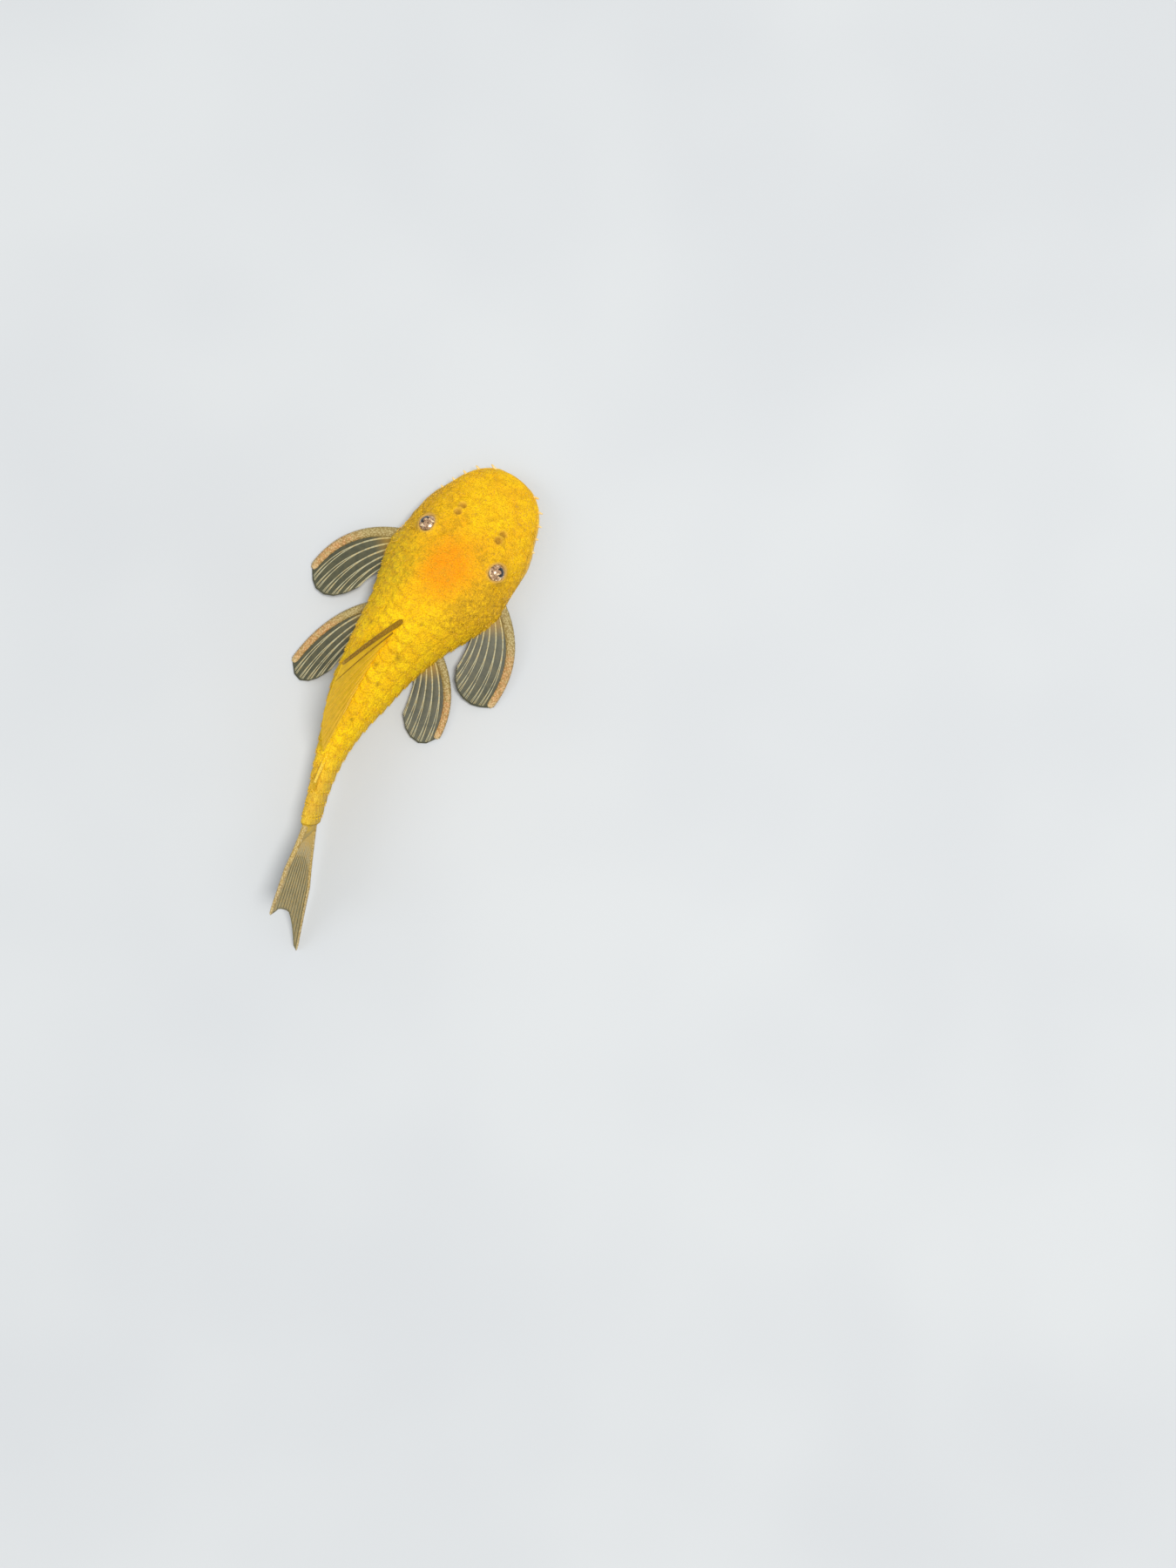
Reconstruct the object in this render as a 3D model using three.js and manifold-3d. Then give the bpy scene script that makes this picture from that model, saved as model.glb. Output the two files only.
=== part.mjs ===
// A young bristlenose pleco, life size, resting on its belly with its tail curved to its right.
// Millimetres, +Z up, the head towards -Y and the fish's left side towards +X. The origin is on the flat of
// the belly, on the midline between the pectoral and pelvic fins, at the level of the floor.
import * as THREE from "three";
import { mergeVertices } from "three/addons/utils/BufferGeometryUtils.js";
import Module from "manifold-3d";

const wasm = await Module();
wasm.setup();

// Driving dimensions. A station is a distance from the snout tip along the backbone
const BODY_LENGTH = 60; // to the base of the tail fin
const ORIGIN_STATION = 25;
const HEAD_END = 16.4;
const TRUNK_END = 43.9;
const GAP = 0.3; // between touching pieces
const FLOOR = 0;

// The backbone seen from above, as arcs: how far each runs, and how far it turns towards the right, in degrees
const BACKBONE = [
  { run: 14, turn: 0 },
  { run: 10, turn: -3.5 },
  { run: 5, turn: 0 },
  { run: 27, turn: 24 },
  { run: 30, turn: 3 },
];

// The body's half width, the heights of its back, belly and widest line, and how square its section is.
// Each is a list of stations with the value there
const halfWidth = profile([
  [0, 0], [0.1, 1.2], [0.4, 2.4], [1, 3.7], [2.2, 5.2], [4.2, 6.6], [6.8, 7.7], [9, 8.6], [10.8, 9.05],
  [14, 9.25], [16.6, 9.5], [19, 9.4], [21, 9], [23, 8.3], [25, 7.6], [27, 6.85], [29.5, 6.2], [32, 5.65],
  [36, 4.85], [40, 4.15], [44, 3.1], [48, 2.15], [52, 1.5], [56, 1.05], [60, 0.85],
]);
const backHeight = profile([
  [0, 2.5], [0.1, 2.95], [0.4, 3.45], [1, 4], [2.2, 4.75], [4.3, 5.7], [8, 7.2], [12, 8.6], [16, 9.8],
  [20, 10.7], [24, 11.2], [28, 11.3], [31, 11], [34, 10.5], [38, 9.8], [42, 9.2], [46, 8.8], [50, 8.6],
  [54, 8.6], [57, 8.9], [60, 9.4],
]);
const bellyHeight = profile([
  [0, 2.5], [0.1, 2.2], [0.4, 1.95], [1, 1.8], [2.5, 1.75], [5, 1.8], [11, 1.8], [13.2, 1.5], [14.8, 0.6],
  [16.2, -0.3], [18, -0.6], [30, -0.6], [36, -0.4], [39, 0], [41, 0.35], [44, 1], [48, 1.8], [52, 2.1],
  [56, 2.1], [60, 1.7],
]);
const widestHeight = profile([
  [0, 2.5], [1, 2.55], [4, 2.7], [10, 2.9], [18, 3], [28, 3.4], [36, 4], [44, 4.8], [52, 5.3], [60, 5.5],
]);
const backSquareness = profile([
  [0, 2], [6, 2.1], [14, 2.2], [20, 2.15], [28, 1.95], [36, 2], [44, 2.3], [52, 2.6], [60, 2.8],
]);
const bellySquareness = profile([[0, 2.2], [6, 2.6], [16, 3], [36, 2.8], [44, 2.4], [60, 2.8]]);

// The bony plates of each side lie in five rows. Row edges are turns round the body: 0 along the back,
// a quarter at the side, a half along the belly
const PLATE_ROWS = [0, 0.078, 0.15, 0.215, 0.275, 0.335];
const PLATE = { trunkColumns: 15, stalkColumns: 9, rise: 0.22, bow: 0.5, groove: 0.12 };
const BARE_BELLY_TURNS = [0.375, 0.415, 0.4575, 0.5];

const EYE = { station: 13.9, out: 6.05, radius: 1.75, sunk: 0.95 };
const EYELID = { radius: 1.73, thick: 0.36, sunk: 0.12 };
const NOSTRIL = { stations: [8.7, 9.9], out: 3.6, radii: [0.52, 0.52, 0.55], flapRadii: [0.5, 0.26, 0.5] };
const BRISTLE = {
  stations: [0.9, 2.4, 4.1, 5.9, 7.8], turn: 0.235, length: 1.05, lastLength: 0.54, sweep: 0.25, sunk: 0.6,
  rootThick: 0.62, tipThick: 0.26,
};
const MOUTH = { station: 8.1, halfWidth: 5.2, halfLength: 4.7, height: 0.55, thick: 1.6 };
const MOUTH_HOLLOW = { halfWidth: 3.3, halfLength: 2.9, thick: 0.85 };
const TOOTH_BAR = { ahead: 0.85, out: 1.15, height: 0.75, radius: 0.3, run: 1.3, slant: 0.22 };
// A barbel's path as [station behind the mouth, out, height]
const BARBEL = { path: [[0.6, 4.9, 0.6], [1.6, 6, 0.5], [3.2, 6.6, 0.42]], rootThick: 0.84, tipThick: 0.36 };

// Paired fins. Roots and tips are [station, out from the midline, height], the front ray first
const FIN_RAY = 0.92;
const FIN_WEB = 0.5;
const FIN_TIP = 0.4;
const SPINE_RIDGES = [0.45, 1.7, 0.6]; // of its front edge, middle and rear edge, as shares of a ray's ridge
const SPINE_NARROWING = 0.3;
const WEB_SCALLOP = 0.05;
const BOW = { along: 0.45, forward: 0.4 }; // where along a ray it bows, and how far forward for each mm outward
const BACK_FIN = { crown: 0.12, droop: 0.12 }; // how much longer its middle rays are, and how far each droops
const PECTORAL = {
  rootFront: [17, 9.2, 2.5],
  rootInner: [20.8, 7.4, 2.4],
  tips: [
    [29.8, 16.8, 0.5], [30.8, 15.7, 0.8], [31.4, 14.5, 1.1], [31.4, 13, 1.45], [30.8, 11.6, 1.8],
    [29.6, 10.4, 2.1], [27.8, 9.4, 2.4],
  ],
  bows: [4.2, 0.8],
  frontWidth: 1.5,
};
const PELVIC_RIGHT = {
  rootFront: [28.1, 5.9, 1.5],
  rootInner: [31.4, 4.6, 1.3],
  tips: [
    [40.7, 12.7, 0.45], [42.2, 11.8, 0.55], [42.8, 10.7, 0.7], [42.5, 9.3, 0.9], [41.5, 8, 1.1],
    [39.6, 6.7, 1.3],
  ],
  bows: [3.1, 0.5],
  frontWidth: 1.3,
};
const PELVIC_LEFT = {
  ...PELVIC_RIGHT,
  tips: [
    [40.8, 11.6, 0.45], [42, 10.6, 0.55], [42.4, 9.4, 0.7], [42, 8.2, 0.9], [41, 7.1, 1.1], [39.2, 6, 1.3],
  ],
  bows: [2.8, 0.4],
};

// Fins on the midline: where the base runs from and to, the ray lengths, and how steeply the rays rise
const DORSAL = {
  from: 27.9, to: 41, rays: 8, frontLength: 13.2, backLength: 8.6, frontRise: 51, backRise: 8, lean: 10,
  sunk: 1.4,
};
const ADIPOSE = {
  from: 50.2, to: 53.4, rays: 3, frontLength: 4.4, backLength: 2, frontRise: 34, backRise: 14, lean: 0, sunk: 1,
};
const ANAL = {
  from: 42.6, to: 45.2, rays: 5, frontLength: 7.4, backLength: 4.8, drop: [0.62, 0.25], dropSteepness: 2.2,
  swing: [1.9, 0.5], sunk: 0.5,
};
const TAIL = {
  rays: 12,
  rootHeights: [9, 2.1],
  rises: [16, -5],
  pivotHeight: 7,
  lean: 12,
  length: profile([[0, 13.8], [0.2, 12.9], [0.5, 13.4], [0.75, 16], [1, 20.4]]),
};

// A smooth curve through [place, value] points that never overshoots them
function profile(points) {
  const slopes = points.map((point, i) => {
    const before = points[i - 1];
    const after = points[i + 1];
    if (!before || !after) return 0;
    const rise = (point[1] - before[1]) / (point[0] - before[0]);
    const next = (after[1] - point[1]) / (after[0] - point[0]);
    return rise * next > 0 ? (2 * rise * next) / (rise + next) : 0;
  });
  return (at) => {
    const last = points.length - 2;
    const beyond = points.findIndex((point) => point[0] > at);
    const i = beyond < 0 ? last : Math.max(0, beyond - 1);
    const span = points[i + 1][0] - points[i][0];
    const t = THREE.MathUtils.clamp((at - points[i][0]) / span, 0, 1);
    const ease = t * t * (3 - 2 * t);
    return (
      points[i][1] * (1 - ease) +
      points[i + 1][1] * ease +
      span * slopes[i] * t * (1 - t) * (1 - t) -
      span * slopes[i + 1] * t * t * (1 - t)
    );
  };
}

// The backbone from the snout tip to a station, seen from above: where it ends and which way it heads
function walkBackbone(station) {
  const at = new THREE.Vector3();
  let heading = 0;
  let ahead = station;
  for (const { run, turn } of BACKBONE) {
    const step = Math.min(ahead, run);
    const bend = THREE.MathUtils.degToRad(turn) / run;
    const middle = heading + (bend * step) / 2;
    const chord = bend ? (2 / bend) * Math.sin((bend * step) / 2) : step;
    at.add(new THREE.Vector3(-Math.sin(middle), Math.cos(middle), 0).multiplyScalar(chord));
    heading += bend * step;
    ahead -= step;
    if (ahead <= 0) break;
  }
  return { at, heading };
}
const origin = walkBackbone(ORIGIN_STATION);
function backbone(station) {
  const { at, heading } = walkBackbone(Math.max(station, 0));
  const turned = heading - origin.heading;
  return {
    at: at.sub(origin.at).applyAxisAngle(new THREE.Vector3(0, 0, 1), -origin.heading),
    tailward: new THREE.Vector3(-Math.sin(turned), Math.cos(turned), 0),
    leftward: new THREE.Vector3(Math.cos(turned), Math.sin(turned), 0),
  };
}

// A point given by its station, its distance to the left of the backbone and its height
function place(station, left, height) {
  const spot = backbone(station);
  return spot.at.addScaledVector(spot.leftward, left).setZ(height);
}

// The smooth skin of the body, swollen by grow
function skin(station, turn, grow = 0) {
  const up = Math.cos(turn * 2 * Math.PI);
  const out = Math.sin(turn * 2 * Math.PI);
  const level = widestHeight(station);
  const rise = up > 0 ? backHeight(station) - level : level - bellyHeight(station);
  const power = 2 / (up > 0 ? backSquareness(station) : bellySquareness(station));
  const left = (halfWidth(station) + grow) * Math.sign(out) * Math.abs(out) ** power;
  const height = level + (rise + grow) * Math.sign(up) * Math.abs(up) ** power;
  return place(station, left, Math.max(height, FLOOR - Math.min(grow, GAP)));
}

// The point of the skin on the upper side at a distance out from the midline, and the way out of the body there
function onSkin(station, side, out) {
  const share = (out / halfWidth(station)) ** (backSquareness(station) / 2);
  const turn = (side * Math.asin(Math.min(share, 1))) / (2 * Math.PI);
  const at = skin(station, turn);
  const small = 0.02;
  const along = skin(station + small, turn).sub(skin(station - small, turn));
  const round = skin(station, turn + small).sub(skin(station, turn - small));
  return { at, outward: round.cross(along).normalize() };
}

// A tube of rings with closed ends. A cylinder's rows and sides are moved to ring(row, side)
function loft(rows, sides, ring) {
  const tube = new THREE.CylinderGeometry(1, 1, 1, sides, rows - 1);
  const spots = tube.getAttribute("position");
  for (let i = 0; i < spots.count; i++) {
    const row = Math.round((0.5 - spots.getY(i)) * (rows - 1));
    const turn = Math.atan2(spots.getX(i), spots.getZ(i)) / (2 * Math.PI);
    const side = (Math.round(turn * sides) + sides) % sides;
    const isCapMiddle = Math.hypot(spots.getX(i), spots.getZ(i)) < 0.5;
    const spot = isCapMiddle ? middle(row) : ring(row, side);
    spots.setXYZ(i, spot.x, spot.y, spot.z);
  }
  function middle(row) {
    return ring(row, 0).add(ring(row, sides / 2)).multiplyScalar(0.5);
  }
  return solid(tube);
}

// A closed geometry as a solid with its faces pointing out, and a solid as a named mesh
function solid(geometry) {
  const shape = geometry.clone();
  shape.deleteAttribute("normal");
  shape.deleteAttribute("uv");
  const merged = mergeVertices(shape, 1e-4);
  const vertProperties = merged.attributes.position.array;
  const outward = new Uint32Array(merged.index.array);
  const made = new wasm.Manifold(new wasm.Mesh({ numProp: 3, vertProperties, triVerts: outward }));
  if (made.volume() > 0) return made;
  const flipped = outward.map((vertex, i) => outward[i % 3 === 0 ? i : i % 3 === 1 ? i + 1 : i - 1]);
  return new wasm.Manifold(new wasm.Mesh({ numProp: 3, vertProperties, triVerts: flipped }));
}
function node(name, made, material) {
  const largest = made.decompose().sort((a, b) => b.volume() - a.volume())[0];
  const { vertProperties, triVerts, numProp, numVert } = largest.getMesh();
  const spots = new Float32Array(numVert * 3);
  for (let i = 0; i < numVert; i++) spots.set(vertProperties.subarray(i * numProp, i * numProp + 3), i * 3);
  const geometry = new THREE.BufferGeometry()
    .setAttribute("position", new THREE.BufferAttribute(spots, 3))
    .setIndex(new THREE.BufferAttribute(new Uint32Array(triVerts), 1));
  geometry.computeVertexNormals();
  const mesh = new THREE.Mesh(geometry, material);
  mesh.name = name;
  return mesh;
}

// An ellipsoid with its own z axis along a direction
function ellipsoid(at, radii, up = new THREE.Vector3(0, 0, 1), around = 16, down = 10) {
  const turned = new THREE.Quaternion().setFromUnitVectors(new THREE.Vector3(0, 0, 1), up);
  const ball = new THREE.SphereGeometry(1, around, down).rotateX(Math.PI / 2);
  return solid(ball.applyMatrix4(new THREE.Matrix4().compose(at, turned, new THREE.Vector3(...radii))));
}

// A cone that tapers from a root, sunk below the start, to a tip
function taper(start, way, length, sunk, rootThick, tipThick, sides = 6) {
  const cone = new THREE.CylinderGeometry(tipThick / 2, rootThick / 2, length + sunk, sides, 1);
  const turned = new THREE.Quaternion().setFromUnitVectors(new THREE.Vector3(0, 1, 0), way);
  const middle = start.clone().addScaledVector(way, (length - sunk) / 2);
  return solid(cone.applyMatrix4(new THREE.Matrix4().compose(middle, turned, new THREE.Vector3(1, 1, 1))));
}

// Turns of the points round one side of a plated ring, with how far each is across its plate
function platedTurns() {
  const points = [];
  for (let row = 0; row + 1 < PLATE_ROWS.length; row++)
    for (const across of [0, 0.3, 0.7])
      points.push({ turn: THREE.MathUtils.lerp(PLATE_ROWS[row], PLATE_ROWS[row + 1], across), across });
  points.push({ turn: PLATE_ROWS.at(-1), across: 0 });
  return [...points, ...BARE_BELLY_TURNS.map((turn) => ({ turn, across: 0 }))];
}

// A stretch of the body with its plates raised: each rises tailward to a bowed rear edge and then drops
function platedStretch(from, to, columns) {
  const half = platedTurns();
  const round = [...half, ...half.slice(1, -1).reverse().map(({ turn, across }) => ({ turn: -turn, across }))];
  const pitch = (to - from) / columns;
  const rows = [];
  for (let column = 0; column < columns; column++)
    for (const [along, height] of [[0, 0], [0.5, 0.6], [0.9, 1]])
      rows.push({ station: from + (column + along) * pitch, height });
  rows.push({ station: to, height: 0 });
  return loft(rows.length, round.length, (row, side) => {
    const { station, height } = rows[row];
    const { turn, across } = round[side];
    const inward = THREE.MathUtils.smoothstep(Math.min(station - from, to - station), 0, 2 * pitch);
    const bulge = 4 * across * (1 - across);
    const bare = Math.abs(turn) > PLATE_ROWS.at(-1);
    const raised = bare ? 0 : PLATE.rise * height * (PLATE.groove + (1 - PLATE.groove) * bulge ** 0.5);
    return skin(station + PLATE.bow * pitch * bulge * inward, turn, raised);
  });
}

function spaced(from, to, count) {
  return Array.from({ length: count + 1 }, (_, i) => from + ((to - from) * i) / count);
}
function smoothStretch(stations, sides, grow = 0) {
  return loft(stations.length, sides, (row, side) => skin(stations[row], side / sides, grow));
}
const SNOUT_STATIONS = [0, 0.1, 0.4, 1, 1.7, 2.6, 3.7];
const clearOfBody = smoothStretch([...SNOUT_STATIONS, ...spaced(5, BODY_LENGTH, 40)], 40, GAP + PLATE.rise / 2);
const belowFloor = solid(new THREE.BoxGeometry(300, 300, 20).translate(0, 0, FLOOR - 10));

// The head: lidded eye sockets, nostrils with a flap between each pair, and short bristles round the snout
function head() {
  let made = smoothStretch([...SNOUT_STATIONS, ...spaced(5, HEAD_END - GAP / 2, 9)], 36);
  for (const side of [1, -1]) {
    const { at, outward } = onSkin(EYE.station, side, EYE.out);
    const rim = new THREE.TorusGeometry(EYELID.radius, EYELID.thick, 6, 18);
    const turned = new THREE.Quaternion().setFromUnitVectors(new THREE.Vector3(0, 0, 1), outward);
    const low = at.clone().addScaledVector(outward, -EYELID.sunk);
    const seat = new THREE.Matrix4().compose(low, turned, new THREE.Vector3(1, 1, 1));
    made = made.add(solid(rim.applyMatrix4(seat)));
    made = made.subtract(eyeBall(side, EYE.radius + GAP));
    for (const station of NOSTRIL.stations) {
      const hole = onSkin(station, side, NOSTRIL.out);
      made = made.subtract(ellipsoid(hole.at, NOSTRIL.radii, hole.outward, 10, 6));
    }
    const flap = onSkin((NOSTRIL.stations[0] + NOSTRIL.stations[1]) / 2, side, NOSTRIL.out);
    made = made.add(ellipsoid(flap.at, NOSTRIL.flapRadii, flap.outward, 10, 6));
    for (const station of BRISTLE.stations) {
      const root = skin(station, side * BRISTLE.turn);
      const way = root.clone().sub(skin(station, side * BRISTLE.turn, -1)).normalize();
      way.addScaledVector(backbone(station).tailward, -BRISTLE.sweep).normalize();
      const length = THREE.MathUtils.mapLinear(
        station, BRISTLE.stations[0], BRISTLE.stations.at(-1), BRISTLE.length, BRISTLE.lastLength,
      );
      made = made.add(taper(root, way, length, BRISTLE.sunk, BRISTLE.rootThick, BRISTLE.tipThick));
    }
  }
  return made;
}
function eyeBall(side, radius) {
  const { at, outward } = onSkin(EYE.station, side, EYE.out);
  return ellipsoid(at.addScaledVector(outward, -EYE.sunk), [radius, radius, radius], outward, 18, 10);
}

// The sucker mouth: a round lip that lies on the floor, a hollow within it and the four bars of the jaws
function mouthDisc() {
  const disc = mouthShape(MOUTH.halfWidth, MOUTH.halfLength, MOUTH.thick, MOUTH.height);
  const hollow = mouthShape(MOUTH_HOLLOW.halfWidth, MOUTH_HOLLOW.halfLength, MOUTH_HOLLOW.thick, FLOOR);
  let made = disc.subtract(hollow).subtract(clearOfBody).subtract(belowFloor);
  for (const side of [1, -1])
    for (const ahead of [1, -1]) {
      const slant = Math.PI / 2 - side * ahead * TOOTH_BAR.slant;
      const bar = new THREE.CapsuleGeometry(TOOTH_BAR.radius, TOOTH_BAR.run, 3, 8).rotateZ(slant);
      const at = place(MOUTH.station - ahead * TOOTH_BAR.ahead, side * TOOTH_BAR.out, TOOTH_BAR.height);
      made = made.add(solid(bar.translate(at.x, at.y, at.z)));
    }
  return made;
}
function mouthShape(halfWide, halfLong, thick, height) {
  const { at, leftward } = backbone(MOUTH.station);
  const lip = new THREE.SphereGeometry(1, 24, 10).rotateX(Math.PI / 2).scale(halfWide, halfLong, thick);
  return solid(lip.rotateZ(Math.atan2(leftward.y, leftward.x)).translate(at.x, at.y, height));
}
function barbel(side) {
  const spots = BARBEL.path.map(([behind, out, height]) => place(MOUTH.station + behind, side * out, height));
  const path = new THREE.CatmullRomCurve3(spots);
  const rows = 7;
  const sides = 8;
  const horn = loft(rows, sides, (row, spoke) => {
    const r = row / (rows - 1);
    const radius = THREE.MathUtils.lerp(BARBEL.rootThick, BARBEL.tipThick, r) / 2;
    const angle = (spoke / sides) * 2 * Math.PI;
    const across = path.getTangent(r).cross(new THREE.Vector3(0, 0, 1)).normalize();
    const spot = path.getPoint(r).addScaledVector(across, radius * Math.sin(angle));
    return spot.setZ(spot.z + radius * Math.cos(angle));
  });
  const room = mouthShape(MOUTH.halfWidth + GAP, MOUTH.halfLength + GAP, MOUTH.thick + GAP, MOUTH.height);
  return horn.subtract(room).subtract(clearOfBody).subtract(belowFloor);
}

// A fin: each ray is a function from 0 at its root to 1 at its tip. Two columns of web run between
// neighbouring rays and end short of their tips. The front ray is a spine of the given width
function fin({ rays, frontWidth, rows = 6 }) {
  const front = rays[0];
  const inward = (r) => rays[1](Math.max(r, 0.05)).sub(front(Math.max(r, 0.05))).normalize();
  const width = (r) => frontWidth * (1 - SPINE_NARROWING * r);
  const edge = (side) => (r) => front(r).addScaledVector(inward(r), side * width(r));
  const columns = [
    { at: edge(-0.5), ridge: SPINE_RIDGES[0] },
    { at: front, ridge: SPINE_RIDGES[1] },
    { at: edge(0.5), ridge: SPINE_RIDGES[2] },
  ];
  for (let i = 0; i + 1 < rays.length; i++) {
    const from = i === 0 ? edge(0.5) : rays[i];
    for (const share of [0.33, 0.67])
      columns.push({
        at: (r) => from(r * (1 - WEB_SCALLOP)).lerp(rays[i + 1](r * (1 - WEB_SCALLOP)), share),
        ridge: 0,
      });
    columns.push({ at: rays[i + 1], ridge: 1 });
  }
  const thickness = (ridge, r) => {
    const root = FIN_WEB + ridge * (FIN_RAY - FIN_WEB);
    return THREE.MathUtils.lerp(root, Math.min(root, FIN_TIP), r ** 1.5);
  };
  return sheet(columns.length, rows + 1, (column, row) => {
    const r = row / rows;
    return { at: columns[column].at(r), thick: thickness(columns[column].ridge, r) };
  });
}

// A thin closed sheet over a grid of middle points, split into triangles alike on both faces
function sheet(columns, rows, spot) {
  const middles = [];
  for (let c = 0; c < columns; c++) for (let r = 0; r < rows; r++) middles.push(spot(c, r));
  const at = (c, r) => {
    const column = THREE.MathUtils.clamp(c, 0, columns - 1);
    return middles[column * rows + THREE.MathUtils.clamp(r, 0, rows - 1)];
  };
  const corners = [];
  for (const side of [1, -1])
    for (let c = 0; c < columns; c++)
      for (let r = 0; r < rows; r++) {
        const across = at(c + 1, r).at.clone().sub(at(c - 1, r).at);
        const along = at(c, r + 1).at.clone().sub(at(c, r - 1).at);
        const normal = across.cross(along).normalize();
        const corner = at(c, r).at.clone().addScaledVector(normal, (side * at(c, r).thick) / 2);
        corners.push(corner.x, corner.y, corner.z);
      }
  const back = columns * rows;
  const index = [];
  for (let c = 0; c + 1 < columns; c++)
    for (let r = 0; r + 1 < rows; r++) {
      const near = c * rows + r;
      const far = near + rows;
      index.push(near, far, far + 1, near, far + 1, near + 1);
      index.push(back + near, back + far + 1, back + far, back + near, back + near + 1, back + far + 1);
    }
  const rim = [];
  for (let c = 0; c < columns; c++) rim.push(c * rows);
  for (let r = 1; r < rows; r++) rim.push((columns - 1) * rows + r);
  for (let c = columns - 2; c >= 0; c--) rim.push(c * rows + rows - 1);
  for (let r = rows - 2; r > 0; r--) rim.push(r);
  rim.forEach((from, i) => {
    const to = rim[(i + 1) % rim.length];
    index.push(from, back + from, to, to, back + from, back + to);
  });
  const geometry = new THREE.BufferGeometry()
    .setAttribute("position", new THREE.Float32BufferAttribute(corners, 3))
    .setIndex(index);
  return solid(geometry);
}

// A paired fin's rays spread evenly from its front root to its inner root, and bow outward
function pairedFin(side, { rootFront, rootInner, tips, bows, frontWidth }) {
  const rays = tips.map((tip, i) => {
    const share = i / (tips.length - 1);
    const root = rootFront.map((value, k) => THREE.MathUtils.lerp(value, rootInner[k], share));
    const start = place(root[0], side * root[1], root[2]);
    const end = place(tip[0], side * tip[1], tip[2]);
    const bow = THREE.MathUtils.lerp(bows[0], bows[1], share);
    const { tailward, leftward } = backbone(root[0]);
    const middle = start.clone().lerp(end, BOW.along);
    middle.addScaledVector(leftward, side * bow).addScaledVector(tailward, -bow * BOW.forward);
    const curve = new THREE.QuadraticBezierCurve3(start, middle, end);
    return (r) => curve.getPoint(r);
  });
  return fin({ rays, frontWidth }).subtract(clearOfBody).subtract(belowFloor);
}

// A fin on the back: its rays rise less and less towards the tail, and may lean to the left
function backFin(shape, frontWidth, rows) {
  const { sunk } = shape;
  const made = Array.from({ length: shape.rays }, (_, i) => {
    const share = i / (shape.rays - 1);
    const station = THREE.MathUtils.lerp(shape.from, shape.to, share);
    const crown = 1 + BACK_FIN.crown * Math.sin(share * Math.PI);
    const length = THREE.MathUtils.lerp(shape.frontLength, shape.backLength, share) * crown;
    const rise = THREE.MathUtils.degToRad(THREE.MathUtils.lerp(shape.frontRise, shape.backRise, share));
    const tilt = THREE.MathUtils.degToRad(shape.lean);
    const { tailward, leftward } = backbone(station + length / 3);
    const upward = new THREE.Vector3(0, 0, Math.cos(tilt)).addScaledVector(leftward, Math.sin(tilt));
    const root = place(station, 0, backHeight(station));
    return (r) => {
      const along = r * (length + sunk) - sunk;
      const droop = rise * (1 - BACK_FIN.droop * r);
      const out = root.clone().addScaledVector(tailward, along * Math.cos(droop));
      return out.addScaledVector(upward, along * Math.sin(droop));
    };
  });
  return fin({ rays: made, frontWidth, rows }).subtract(clearOfBody);
}

// The anal fin, folded back along the underside of the stalk
function analFin() {
  const rays = Array.from({ length: ANAL.rays }, (_, i) => {
    const share = i / (ANAL.rays - 1);
    const station = THREE.MathUtils.lerp(ANAL.from, ANAL.to, share);
    const length = THREE.MathUtils.lerp(ANAL.frontLength, ANAL.backLength, share);
    const drop = THREE.MathUtils.lerp(...ANAL.drop, share);
    const swing = THREE.MathUtils.lerp(...ANAL.swing, share);
    const { tailward, leftward } = backbone(station + length / 2);
    const root = place(station, 0, bellyHeight(station) + ANAL.sunk);
    return (r) => {
      const out = root.clone().addScaledVector(tailward, length * r).addScaledVector(leftward, swing * r);
      return out.setZ(root.z - drop * Math.min(1, ANAL.dropSteepness * r));
    };
  });
  return fin({ rays, frontWidth: 0.8 }).subtract(clearOfBody).subtract(belowFloor);
}

// The tail fin, upright, with the longer lower lobe along the floor
function tailFin() {
  const rays = Array.from({ length: TAIL.rays }, (_, i) => {
    const share = i / (TAIL.rays - 1);
    const height = THREE.MathUtils.lerp(...TAIL.rootHeights, share);
    const rise = THREE.MathUtils.degToRad(THREE.MathUtils.lerp(...TAIL.rises, share));
    const length = TAIL.length(share);
    const lean = Math.tan(THREE.MathUtils.degToRad(TAIL.lean));
    return (r) => {
      const up = height + length * r * Math.sin(rise);
      const station = BODY_LENGTH + GAP + length * r * Math.cos(rise);
      return place(station, (up - TAIL.pivotHeight) * lean * Math.min(1, 2 * r), up);
    };
  });
  return fin({ rays, frontWidth: 1.1, rows: 7 }).subtract(belowFloor);
}

// Materials
const gold = new THREE.MeshStandardMaterial({ color: 0xf0b812, roughness: 0.55, metalness: 0 });
const finOlive = new THREE.MeshStandardMaterial({ color: 0xb49a52, roughness: 0.5, metalness: 0 });
const lipCream = new THREE.MeshStandardMaterial({ color: 0xe8c9a0, roughness: 0.6, metalness: 0 });
const eyeDark = new THREE.MeshStandardMaterial({ color: 0x1c1a22, roughness: 0.1, metalness: 0 });

const trunk = platedStretch(HEAD_END + GAP / 2, TRUNK_END - GAP / 2, PLATE.trunkColumns);
const stalk = platedStretch(TRUNK_END + GAP / 2, BODY_LENGTH, PLATE.stalkColumns);

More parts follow.
